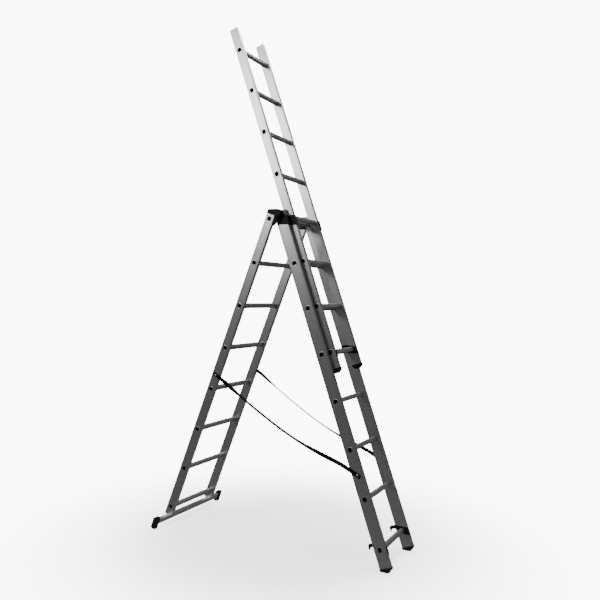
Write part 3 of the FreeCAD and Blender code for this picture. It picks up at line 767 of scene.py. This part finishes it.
def rounded_loop(
    low: Point2, high: Point2, radius: float, flutes: Sequence[Sequence[Groove]],
    steps: int = 5, cut: bool = True,
) -> list[Point2]:
    """Closed loop of a rounded rectangle with grooves, anticlockwise from its lower side.

    Args:
        low: Lower left corner.
        high: Upper right corner.
        radius: Corner radius.
        flutes: Grooves of the lower, right, upper and left sides, in the direction of travel.
        steps: Segments of each corner.
        cut: Whether the grooves are sunk; if not, their points stay on the side.

    Returns:
        The points of the loop.
    """
    (x0, y0), (x1, y1) = low, high
    centres = (
        (x1 - radius, y0 + radius), (x1 - radius, y1 - radius),
        (x0 + radius, y1 - radius), (x0 + radius, y0 + radius),
    )
    sides = (
        (Vector((0.0, y0)), Vector((1.0, 0.0))), (Vector((x1, 0.0)), Vector((0.0, 1.0))),
        (Vector((0.0, y1)), Vector((-1.0, 0.0))), (Vector((x0, 0.0)), Vector((0.0, -1.0))),
    )
    loop: list[Point2] = []
    for number, ((start, along), (cx, cy)) in enumerate(zip(sides, centres)):
        inward = Vector((-along.y, along.x))
        for groove in flutes[number]:
            depth = groove.depth if cut else 0.0
            for offset, sink in ((-1.0, 0.0), (-0.5, 1.0), (0.5, 1.0), (1.0, 0.0)):
                spot = start + along * (groove.centre + offset * groove.half) + inward * (sink * depth)
                loop.append((spot.x, spot.y))
        first = -math.pi / 2 + number * math.pi / 2
        for step in range(steps + 1):
            angle = first + step * math.pi / 2 / steps
            loop.append((cx + radius * math.cos(angle), cy + radius * math.sin(angle)))
    return loop


def ring_faces(count: int, first: int, second: int) -> list[tuple[int, int, int, int]]:
    """Faces between two loops of equal length.

    Args:
        count: Points in each loop.
        first: Number of the first loop's first vertex.
        second: Number of the second loop's first vertex.

    Returns:
        One four-sided face per point.
    """
    return [
        (first + i, first + (i + 1) % count, second + (i + 1) % count, second + i)
        for i in range(count)
    ]


def octagon_loop(
    deep: float, high: float, bevel: float, ribs: int = 0, rib_depth: float = 0.0,
) -> list[Point2]:
    """Closed loop of a bevelled rectangle, with the points of its ribs on all four flats.

    Args:
        deep: Width of the loop.
        high: Height of the loop.
        bevel: Size of the corner bevels.
        ribs: Grooves on each flat.
        rib_depth: How far the grooves are sunk.

    Returns:
        The points of the loop, anticlockwise from the lower flat.
    """
    half_deep, half_high = deep / 2, high / 2
    flats = (
        ((-(half_deep - bevel), -half_high), (half_deep - bevel, -half_high)),
        ((half_deep, -(half_high - bevel)), (half_deep, half_high - bevel)),
        ((half_deep - bevel, half_high), (-(half_deep - bevel), half_high)),
        ((-half_deep, half_high - bevel), (-half_deep, -(half_high - bevel))),
    )
    loop: list[Point2] = []
    for start, end in flats:
        a, b = Vector(start), Vector(end)
        inward = Vector((-(b - a).normalized().y, (b - a).normalized().x))
        loop.append(tuple(a))
        for rib in range(ribs):
            for offset, sink in ((0.15, 0.0), (0.4, 1.0), (0.75, 1.0), (1.0, 0.0)):
                spot = a.lerp(b, (rib + offset) / (ribs + 0.15)) + inward * (sink * rib_depth)
                loop.append(tuple(spot))
        loop.append(tuple(b))
    return loop


# ----------------------------------------------------------------------------------------------
# Ladder sections
# ----------------------------------------------------------------------------------------------


@dataclass(frozen=True)
class Stance:
    """Place of a section: the axis of its lowest rung, and its lean about X."""

    y: float
    z: float
    lean: float

    def matrix(self) -> Matrix:
        """Matrix from the section's upright frame to the part's frame."""
        return Matrix.Translation((0.0, self.y, self.z)) @ Matrix.Rotation(self.lean, 4, "X")


@dataclass(frozen=True)
class LadderSizes:
    """Sizes that all sections share."""

    lean: float = math.radians(20.35)
    pitch: float = 0.280
    rungs: int = 8
    apex_half: float = 0.032
    foot_reach: float = 0.125
    rear_half: float = 0.2265
    nest_rear: float = 0.005
    nest_top: float = 0.0045
    stile_wide: float = 0.025
    rear_deep: float = 0.058
    middle_deep: float = 0.072
    top_deep: float = 0.058
    wall: float = 0.0015
    edge_round: float = 0.003
    groove_inset: float = 0.0095
    rung_deep: float = 0.026
    rung_high: float = 0.028
    rung_bevel: float = 0.005
    rung_wall: float = 0.0015
    rung_ribs: int = 6
    rib_depth: float = 0.0006
    rib_fade: float = 0.0015
    rim_thick: float = 0.001
    rim_lip: float = 0.002
    rim_roll: float = 0.0003
    punch_play: float = 0.0004
    rung_play: float = 0.0018
    hook_drop: float = 0.003
    plate_thick: float = 0.0025
    rivet_inset: float = 0.009
    cap_rivet_rise: float = 0.034
    strap_thick: float = 0.0016
    strap_rear_rise: float = 0.094
    strap_middle_drop: float = 0.144

    def span(self) -> float:
        """Distance from the lowest rung to the highest one."""
        return (self.rungs - 1) * self.pitch

    def middle_half(self) -> float:
        """Half the width of the middle section, which nests in the rear one."""
        return self.rear_half - self.stile_wide - self.nest_rear

    def top_half(self) -> float:
        """Half the width of the top section, which nests in the middle one."""
        return self.middle_half() - self.stile_wide - self.nest_top

    def strap_rear_height(self) -> float:
        """Height of the straps' rivets on the rear stiles, above the lowest rung."""
        return 3 * self.pitch + self.strap_rear_rise

    def strap_middle_height(self) -> float:
        """Height of the straps' rivets on the middle stiles, above the lowest rung."""
        return 2 * self.pitch - self.strap_middle_drop

    def foot_height(self) -> float:
        """Height of the lowest rungs above the floor."""
        return self.foot_reach * math.cos(self.lean)

    def stance_y(self) -> float:
        """Distance of the lowest rungs from the plane between the two sections."""
        return self.apex_half + self.span() * math.sin(self.lean)

    def stances(self) -> dict[BodyName, Stance]:
        """Places of the three sections.

        Returns:
            The stance of each section's body.
        """
        sin, cos = math.sin(self.lean), math.cos(self.lean)
        front, foot = -self.stance_y(), self.foot_height()
        ahead = -(self.rung_deep / 2 + self.rung_play + self.top_deep / 2)
        raised = self.rungs // 2 * self.pitch - self.hook_drop
        return {
            BodyName.REAR: Stance(-front, foot, self.lean),
            BodyName.MIDDLE: Stance(front, foot, -self.lean),
            BodyName.TOP: Stance(
                front + ahead * cos + raised * sin, foot - ahead * sin + raised * cos, -self.lean
            ),
        }


@dataclass(frozen=True)
class RivetHead:
    """A domed rivet head."""

    radius: float
    rise: float


BRACKET_HEAD = RivetHead(0.0045, 0.0008)
CAP_HEAD = RivetHead(0.0045, 0.0012)
STRAP_HEAD = RivetHead(0.007, 0.002)


@dataclass
class LadderSection:
    """Two drilled box stiles with a row of swaged rungs."""

    shared: LadderSizes
    body: BodyName
    prefix: str
    half: float
    deep: float
    above: float
    below: float
    stance: Stance

    def adopt(
        self, piece: bpy.types.Object, slot: Slot, *nodes: str,
        finish: bpy.types.Material | None = None,
    ) -> bpy.types.Object:
        """Fix a finished piece to this section's body.

        Args:
            piece: The piece, in place.
            slot: Material slot; not used.
            *nodes: CAD nodes that it stands for.
            finish: Its material, unless it has one already.

        Returns:
            The piece.
        """
        if finish is not None:
            piece.data.materials.clear()
            piece.data.materials.append(finish)
        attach(piece, self.body.value)
        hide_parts(*nodes)
        LOG.info("%s: %d faces on %s", piece.name, len(piece.data.polygons), self.body.value)
        return piece

    def stile_ring(self, side: int) -> bpy.types.Mesh:
        """Flat ring of one stile's profile at its lower end.

        Args:
            side: -1 for the left stile and 1 for the right one.

        Returns:
            A mesh of one ring of faces that look up.
        """
        shared = self.shared
        edges = sorted((side * self.half, side * (self.half - shared.stile_wide)))
        half_deep = self.deep / 2
        reach = half_deep - shared.groove_inset
        web = [Groove(-reach), Groove(reach)]
        middle = sum(edges) / 2
        flutes = ([Groove(middle)], web, [Groove(-middle)], web)
        outer = rounded_loop((edges[0], -half_deep), (edges[1], half_deep), shared.edge_round, flutes)
        inner = rounded_loop(
            (edges[0] + shared.wall, -half_deep + shared.wall),
            (edges[1] - shared.wall, half_deep - shared.wall),
            shared.edge_round / 3, flutes, cut=False,
        )
        points = [(x, y, -self.below) for x, y in outer + inner]
        return mesh_of("ring", points, ring_faces(len(outer), 0, len(outer)))

    def punch(self, side: int) -> bpy.types.Object:
        """Prism of one rung hole through both webs of a stile.

        Args:
            side: -1 for the left stile and 1 for the right one.

        Returns:
            An object that only the pierced extrusion reads.
        """
        shared = self.shared
        play = shared.punch_play
        loop = octagon_loop(shared.rung_deep + play, shared.rung_high + play, shared.rung_bevel)
        centre = side * (self.half - shared.stile_wide / 2)
        reach = shared.stile_wide
        points = [(centre - reach, y, z) for y, z in loop] + [(centre + reach, y, z) for y, z in loop]
        count = len(loop)
        faces: list[Sequence[int]] = ring_faces(count, 0, count)
        faces += [tuple(reversed(range(count))), tuple(range(count, 2 * count))]
        return new_piece("punch", face_outwards(mesh_of("punch", points, faces)))

    def build_stiles(self, extrusion: PiercedExtrusion, finish: bpy.types.Material) -> None:
        """Draw, pierce and place both stiles.

        Args:
            extrusion: Tree that draws a ring up and pierces it.
            finish: Material of the stiles.
        """
        shared = self.shared
        for side_name, side in SIDES:
            name = f"{self.prefix}_stile_{side_name}"
            piece = new_piece(f"{name}_drawn", self.stile_ring(side))
            punch = self.punch(side)
            extrusion.run(
                piece, Length=self.below + shared.span() + self.above, Count=shared.rungs,
                Pitch=shared.pitch, Punch=punch, Finish=finish,
            )
            bpy.data.objects.remove(punch)
            smooth_by_area(piece)
            piece.data.transform(self.stance.matrix())
            self.adopt(piece, Slot.STILE, name)

    def rung_loop(self, grow: float, sink: float) -> list[Point2]:
        """Cross-section of a rung.

        Args:
            grow: How far the section stands out from the rung's own outline.
            sink: Depth of the grooves between the ribs.

        Returns:
            The points of the section.
        """
        shared = self.shared
        return octagon_loop(
            shared.rung_deep + 2 * grow, shared.rung_high + 2 * grow,
            max(shared.rung_bevel + 0.6 * min(grow, 0.0), 0.002), shared.rung_ribs, sink,
        )

    def rung_mesh(self) -> bpy.types.Mesh:
        """One hollow rung with ribbed flats and a rolled rim at each end.

        Returns:
            A closed mesh about the middle of the rung.
        """
        shared = self.shared
        inside = self.half - shared.stile_wide
        thick, lip, wall = shared.rim_thick, shared.rim_lip, shared.rung_wall
        fade, roll = shared.rib_fade, shared.rim_roll
        # place along X, growth of the section and depth of its grooves, out over the rim and back in
        outward = (
            (inside - fade, 0.0, shared.rib_depth), (inside - 0.0004, 0.0, 0.0), (self.half, 0.0, 0.0),
            (self.half, lip - roll, 0.0), (self.half + 0.3 * thick, lip, 0.0),
            (self.half + 0.75 * thick, lip - roll, 0.0), (self.half + thick, lip - 0.001, 0.0),
            (self.half + thick, 0.0, 0.0), (self.half + 0.7 * thick, -0.7 * wall, 0.0),
            (self.half - 0.002, -wall, 0.0),
        )
        stations = [(-x, grow, sink) for x, grow, sink in reversed(outward[:8])]
        stations += list(outward)
        stations += [(-x, grow, sink) for x, grow, sink in reversed(outward[8:])]
        rows = [[(x, y, z) for y, z in self.rung_loop(grow, sink)] for x, grow, sink in stations]
        count = len(rows[0])
        points = [point for row in rows for point in row]
        faces: list[Sequence[int]] = []
        for number in range(len(rows)):
            faces += ring_faces(count, number * count, (number + 1) % len(rows) * count)
        return face_outwards(mesh_of("rung", points, faces))

    def build_rungs(self, row: RungRow, finish: bpy.types.Material) -> None:
        """Make and place the section's rungs.

        Args:
            row: Tree that copies a rung up the section.
            finish: Material of the rungs.
        """
        piece = new_piece(f"{self.prefix}_rungs_swaged", self.rung_mesh())
        row.run(piece, Count=self.shared.rungs, Pitch=self.shared.pitch, Finish=finish)
        smooth_by_area(piece, 25.0)
        piece.data.transform(self.stance.matrix())
        nodes = [f"{self.prefix}_rung_{number}" for number in range(1, self.shared.rungs + 1)]
        self.adopt(piece, Slot.RUNG, *nodes)

    def build_rivets(
        self, tree: RivetField, node: str, spots: Sequence[tuple[float, Point2]],
        head: RivetHead, finish: bpy.types.Material,
    ) -> None:
        """Make and place domed rivet heads.

        Args:
            tree: Tree that puts a head on each vertex.
            node: CAD node that the heads stand for.
            spots: Distance from the middle plane and side-view place of each head, for one side.
            head: Size of a head.
            finish: Material of the heads.
        """
        name = f"{node.removesuffix('s')}_heads"
        points = [(side * x, y, z) for _, side in SIDES for x, (y, z) in spots]
        piece = new_piece(name, mesh_of(name, points, []))
        tree.run(piece, Radius=head.radius, Rise=head.rise, Finish=finish)
        piece.data.transform(self.stance.matrix())
        self.adopt(piece, Slot.FASTENER, node)

    def web_spots(self) -> list[tuple[float, Point2]]:
        """Places of the two rivets that hold a hook plate inside a stile's foot.

        Returns:
            Distance from the middle plane and side-view place of each.
        """
        web = self.half - self.shared.stile_wide - self.shared.plate_thick
        reach = self.deep / 2 - self.shared.rivet_inset
        return [(web, (-reach, -0.012)), (web, (reach, 0.018))]

    def strap_spots(self, height: float) -> list[tuple[float, Point2]]:
        """Place of the rivet that holds a strap on a stile, at a height above the lowest rung."""
        return [(self.half + self.shared.strap_thick, (0.0, height))]

    def build_frame(self, trees: Trees, finishes: Finishes) -> None:
        """Build the stiles and rungs.

        Args:
            trees: Shared geometry node trees.
            finishes: All materials.
        """
        self.build_stiles(trees.extrusion, finishes.stile[self.body])
        self.build_rungs(trees.row, finishes.rung[self.body])

    def soften(
        self, nodes: Iterable[str], width: float, slot: Slot, finish: bpy.types.Material
    ) -> None:
        """Break the edges of CAD pieces and dress them.

        Args:
            nodes: CAD node names.
            width: Width of the broken edges.
            slot: Material slot.
            finish: Material.
        """
        for node in nodes:
            self.adopt(softened(f"{node}_soft", node, width), slot, node, finish=finish)

    def keep(self, nodes: Iterable[str], finish: bpy.types.Material) -> None:
        """Dress CAD nodes that are shown as they are.

        Args:
            nodes: CAD node names.
            finish: Material.
        """
        for node in nodes:
            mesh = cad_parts[node].data
            mesh.materials.clear()
            mesh.materials.append(finish)
            LOG.info("%s: carried over", node)


def both(stem: str) -> tuple[str, str]:
    """Left and right names of a paired piece."""
    return f"{stem}_left", f"{stem}_right"


@dataclass
class RearSection(LadderSection):
    """The supporting section: hinge caps on top, stabiliser bar across its feet."""

    def build(self, trees: Trees, finishes: Finishes) -> None:
        """Build the section.

        Args:
            trees: Shared geometry node trees.
            finishes: All materials.
        """
        self.build_frame(trees, finishes)
        rivet_high = self.shared.span() + self.shared.cap_rivet_rise
        quarter = self.deep / 4
        self.build_rivets(
            trees.rivets, "rear_rivets",
            [(self.half + 0.0015, (y, rivet_high)) for y in (quarter, -quarter)],
            CAP_HEAD, finishes.steel,
        )
        self.build_rivets(
            trees.rivets, "rear_strap_rivets", self.strap_spots(self.shared.strap_rear_height()),
            STRAP_HEAD, finishes.zinc,
        )
        self.soften(both("rear_hinge_cap"), CAP_EDGE, Slot.CASTING, finishes.casting)
        self.soften(both("stabiliser_foot"), BAR_FOOT_EDGE, Slot.RUBBER, finishes.rubber)
        self.soften(["stabiliser_bar"], BAR_EDGE, Slot.STILE, finishes.rung[self.body])
        self.soften(["stabiliser_bolts"], BOLT_EDGE, Slot.FASTENER, finishes.steel)
        self.keep(both("rear_insert"), finishes.plastic)


@dataclass
class MiddleSection(LadderSection):
    """The climbing section: guides and hinge pins at the top, hooks and rubber feet below."""

    def build(self, trees: Trees, finishes: Finishes) -> None:
        """Build the section.

        Args:
            trees: Shared geometry node trees.
            finishes: All materials.
        """
        self.build_frame(trees, finishes)
        span, half_deep, inset = self.shared.span(), self.deep / 2, self.shared.rivet_inset
        cheek = self.half + self.shared.plate_thick
        cheek_spots = [
            (cheek, (-half_deep + 1.2 * inset, span - 2 * inset)),
            (cheek, (half_deep - 1.1 * inset, span - 1.4 * inset)),
        ]
        self.build_rivets(
            trees.rivets, "middle_rivets", self.web_spots() + cheek_spots, BRACKET_HEAD, finishes.steel
        )
        self.build_rivets(
            trees.rivets, "middle_strap_rivets", self.strap_spots(self.shared.strap_middle_height()),
            STRAP_HEAD, finishes.zinc,
        )
        for stem in ("middle_guide", "middle_hook"):
            self.soften(both(stem), PLATE_EDGE, Slot.STEEL, finishes.steel)
        self.soften(both("middle_foot"), FOOT_EDGE, Slot.RUBBER, finishes.rubber)
        self.soften(["hinge_pins"], PIN_EDGE, Slot.FASTENER, finishes.steel)


@dataclass
class TopSection(LadderSection):
    """The raised section: hooks and end caps at its foot."""

    def build(self, trees: Trees, finishes: Finishes) -> None:
        """Build the section.

        Args:
            trees: Shared geometry node trees.
            finishes: All materials.
        """
        self.build_frame(trees, finishes)
        self.build_rivets(trees.rivets, "top_rivets", self.web_spots(), BRACKET_HEAD, finishes.steel)
        self.soften(both("top_hook"), PLATE_EDGE, Slot.STEEL, finishes.steel)
        self.soften(both("top_foot"), FOOT_EDGE, Slot.RUBBER, finishes.rubber)


@dataclass(frozen=True)
class Trees:
    """The geometry node trees that the sections share."""

    extrusion: PiercedExtrusion
    row: RungRow
    rivets: RivetField


# ----------------------------------------------------------------------------------------------
# Straps
# ----------------------------------------------------------------------------------------------


def ease(value: float) -> float:
    """Smooth step from 0 to 1, flat at both ends."""
    value = min(max(value, 0.0), 1.0)
    return value * value * (3.0 - 2.0 * value)


@dataclass
class Strap:
    """A flat webbing strap that hangs in slack bends and turns over between its ends."""

    MAP = "strap_layout"

    side_name: str
    side: int
    upper: Vector
    lower: Vector
    twist: float
    wide: float = 0.025
    thick: float = LadderSizes.strap_thick
    length: float = 1.1165
    hang: tuple[Point2, ...] = (
        (-0.0173, -0.0028), (0.0506, -0.0007), (0.151, 0.0121), (0.261, 0.0231),
        (0.376, 0.0316), (0.4939, 0.0376), (0.6076, 0.0374), (0.7179, 0.0284),
        (0.8249, 0.0128), (0.9223, -0.0011), (1.0181, 0.0005),
    )

    def route(self) -> list[Vector]:
        """Lay the listed points between the two rivets.

        Returns:
            Points that the strap follows, from its rear end to its front end.
        """
        flat = Vector((0.0, self.lower.y - self.upper.y, self.lower.z - self.upper.z))
        below = Vector((1.0, 0.0, 0.0)).cross(flat)
        start = Vector((0.0, self.upper.y, self.upper.z))
        points = [start + flat * along + below * sag for along, sag in self.hang]
        first, last = points[1].y, points[-2].y
        for point in points:
            share = min(max((first - point.y) / (first - last), 0.0), 1.0)
            point.x = self.upper.x + (self.lower.x - self.upper.x) * share
        return points

    def centre_line(self) -> list[Vector]:
        """Draw a smooth line through the route.

        Returns:
            Points of the line, about 5 mm apart.
        """
        curve = bpy.data.curves.new("strap_line", "CURVE")
        curve.dimensions = "3D"
        spline = curve.splines.new("NURBS")
        route = self.route()
        spline.points.add(len(route) - 1)
        for knot, point in zip(spline.points, route):
            knot.co = (*point, 1.0)
        spline.order_u = 3
        spline.use_endpoint_u = True
        spline.resolution_u = 20
        holder = new_piece("strap_line", curve)
        mesh = bpy.data.meshes.new_from_object(holder)
        line = [v.co.copy() for v in mesh.vertices]
        bpy.data.objects.remove(holder)
        return line

    def turn_at(self, share: float) -> float:
        """How far the strap has turned over at a share of its length."""
        return self.twist * ease((share - 0.03) / 0.2) * (1.0 - ease((share - 0.58) / 0.36))

    def section_loop(self) -> list[Point2]:
        """Cross-section of the webbing: thin, with rolled selvedges.

        Returns:
            The points of the section.
        """
        a, b = self.wide / 2, self.thick / 2
        across = (-0.94, -0.6, -0.2, 0.2, 0.6, 0.94)
        upper = [(a * share, b) for share in reversed(across)]
        lower = [(a * share, -b) for share in across]
        return [*upper, (-a, 0.45 * b), (-a, -0.45 * b), *lower, (a, -0.45 * b), (a, 0.45 * b)]

    def webbing_mesh(self, name: str, line: Sequence[Vector]) -> bpy.types.Mesh:
        """Draw the cross-section along a line, turned over as it goes, with a map for the weave.

        Args:
            name: Mesh name.
            line: Points of the centre line.

        Returns:
            A closed mesh.
        """
        loop = self.section_loop()
        reach = [0.0]
        for before, after in zip(line, line[1:]):
            reach.append(reach[-1] + (after - before).length)
        x_axis = Vector((1.0, 0.0, 0.0))
        points: list[Vector] = []
        for number, centre in enumerate(line):
            along = (line[min(number + 1, len(line) - 1)] - line[max(number - 1, 0)]).normalized()
            flat = along.cross(x_axis).normalized()
            turned = Matrix.Rotation(self.side * self.turn_at(reach[number] / reach[-1]), 3, along)
            across = turned @ flat
            face = along.cross(across).normalized()
            points += [centre + across * u + face * w for u, w in loop]
        count = len(loop)
        faces: list[Sequence[int]] = []
        for number in range(len(line) - 1):
            faces += ring_faces(count, number * count, (number + 1) * count)
        faces += [tuple(reversed(range(count))), tuple(range(len(points) - count, len(points)))]
        mesh = mesh_of(name, points, faces)
        layout = mesh.uv_layers.new(name=self.MAP)
        for polygon in mesh.polygons:
            for corner in polygon.loop_indices:
                vertex = mesh.loops[corner].vertex_index
                layout.data[corner].uv = (loop[vertex % count][0], reach[vertex // count])
        LOG.info("%s: %.3f m long", name, reach[-1])
        return face_outwards(mesh)

    def build(self, finishes: Finishes) -> None:
        """Args:
            finishes: All materials.
        """
        name = f"strap_{self.side_name}_webbing"
        line = self.centre_line()
        mesh = self.webbing_mesh(name, line)
        mesh.materials.append(finishes.webbing)
        piece = smooth_by_area(new_piece(name, mesh), 60.0)
        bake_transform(piece)
        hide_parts(f"strap_{self.side_name}")


# ----------------------------------------------------------------------------------------------
# Studio
# ----------------------------------------------------------------------------------------------


@dataclass(frozen=True)
class SoftBox:
    """An area light that faces a point."""

    name: str
    place: tuple[float, float, float]
    aim: tuple[float, float, float]
    wide: float
    high: float
    watts: float

    def build(self) -> None:
        """Add the light."""
        light = bpy.data.lights.new(self.name, "AREA")
        light.shape = "RECTANGLE"
        light.size, light.size_y, light.energy = self.wide, self.high, self.watts
        holder = bpy.data.objects.new(self.name, light)
        towards = Vector(self.aim) - Vector(self.place)
        holder.matrix_world = (
            Matrix.Translation(self.place) @ towards.to_track_quat("-Z", "Y").to_matrix().to_4x4()
        )
        holder.visible_camera = False
        bpy.context.scene.collection.objects.link(holder)


@dataclass(frozen=True)
class Studio:
    """Pale floor, soft lights and the camera."""

    FLOOR: ClassVar[Finish] = Finish("pale_floor", grey=0.92, roughness=0.9, specular=0.1)

    eye: tuple[float, float, float] = (-3.6240, -2.0011, 1.5205)
    yaw: float = 0.4896
    pitch: float = -0.0112
    roll: float = 0.0275
    lens: float = 39.835
    sensor: float = 36.0
    floor_reach: float = 3.6
    floor_full: float = 0.35
    floor_glow: float = 1.5
    backdrop: float = 10.0
    surround: float = 0.1
    boxes: tuple[SoftBox, ...] = (
        SoftBox("overhead", (0.9, -0.3, 5.8), (0.3, 0.0, 0.0), 4.0, 4.0, 640.0),
        SoftBox("rear_high", (-4.4, 3.0, 3.75), (0.0, 0.0, 2.2), 2.0, 2.0, 116.0),
    )

    def build_camera(self) -> None:
        """Add the camera."""
        forward = Vector((
            math.cos(self.pitch) * math.cos(self.yaw),
            math.cos(self.pitch) * math.sin(self.yaw), math.sin(self.pitch),
        ))
        level = forward.cross(Vector((0.0, 0.0, 1.0))).normalized()
        upward = level.cross(forward)
        right = level * math.cos(self.roll) + upward * math.sin(self.roll)
        above = upward * math.cos(self.roll) - level * math.sin(self.roll)
        data = bpy.data.cameras.new("camera")
        data.lens, data.sensor_width = self.lens, self.sensor
        data.clip_end = 200.0
        holder = bpy.data.objects.new("camera", data)
        turned = Matrix((right, above, -forward)).transposed().to_4x4()
        holder.matrix_world = Matrix.Translation(self.eye) @ turned
        bpy.context.scene.collection.objects.link(holder)
        bpy.context.scene.camera = holder

    def build_floor(self) -> None:
        """Add the floor, which fades out at its rim and stays out of the metal's reflections."""
        reach = self.floor_reach
        corners = [(-reach, -reach, 0.0), (reach, -reach, 0.0), (reach, reach, 0.0), (-reach, reach, 0.0)]
        mesh = mesh_of("floor", corners, [(0, 1, 2, 3)])
        material, graph, shader = self.FLOOR.begin()
        shader.inputs["Emission Color"].default_value = (1.0, 1.0, 1.0, 1.0)
        shader.inputs["Emission Strength"].default_value = self.floor_glow
        place = graph.signal("ShaderNodeTexCoord", output="Object")
        away = graph.signal("ShaderNodeVectorMath", {"operation": "LENGTH"}, {0: place}, output="Value")
        fade = graph.signal(
            "ShaderNodeMapRange", {"interpolation_type": "SMOOTHERSTEP"},
            {"Value": away, "From Min": self.floor_full, "From Max": self.floor_reach * 0.6},
        )
        graph.feed(shader.inputs["Alpha"], 1.0 - fade)
        mesh.materials.append(material)
        piece = new_piece("floor", mesh)
        piece.visible_glossy = False

    def build_surround(self) -> None:
        """White backdrop for the eye and a softer surround for the light that the metal mirrors."""
        world = bpy.data.worlds.new("studio")
        world.use_nodes = True
        graph = Graph(world.node_tree)
        graph.tree.nodes.clear()
        seen = graph.signal("ShaderNodeLightPath", output="Is Camera Ray")
        strength = seen * (self.backdrop - self.surround) + self.surround
        shader = graph.node(
            "ShaderNodeBackground", values={"Color": (1.0, 1.0, 1.0, 1.0), "Strength": strength}
        )
        graph.node("ShaderNodeOutputWorld", values={"Surface": shader.outputs[0]})
        bpy.context.scene.world = world

    def build(self) -> None:
        """Add everything."""
        self.build_camera()
        self.build_floor()
        self.build_surround()
        for box in self.boxes:
            box.build()


# ----------------------------------------------------------------------------------------------


def main() -> None:
    """Build the ladder and its studio."""
    logging.basicConfig(level=logging.INFO, format="%(name)s %(message)s")
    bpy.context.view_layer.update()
    shared = LadderSizes()
    stances = shared.stances()
    finishes = Finishes({body: stance.lean for body, stance in stances.items()})
    trees = Trees(PiercedExtrusion(), RungRow(), RivetField())
    rear = RearSection(
        shared, BodyName.REAR, "rear", shared.rear_half, shared.rear_deep,
        above=0.040, below=0.061, stance=stances[BodyName.REAR],
    )
    middle = MiddleSection(
        shared, BodyName.MIDDLE, "middle", shared.middle_half(), shared.middle_deep,
        above=0.050, below=0.112, stance=stances[BodyName.MIDDLE],
    )
    top = TopSection(
        shared, BodyName.TOP, "top", shared.top_half(), shared.top_deep,
        above=0.147, below=0.107, stance=stances[BodyName.TOP],
    )
    for section in (rear, middle, top):
        section.build(trees, finishes)
    stand_off = shared.strap_thick / 2
    for side_name, side in SIDES:
        upper = rear.stance.matrix() @ Vector(
            (side * (rear.half + stand_off), 0.0, shared.strap_rear_height())
        )
        lower = middle.stance.matrix() @ Vector(
            (side * (middle.half + stand_off), 0.0, shared.strap_middle_height())
        )
        Strap(side_name, side, upper, lower, STRAP_TWIST[side_name]).build(finishes)
    Studio().build()


if __name__ == "__main__":
    main()
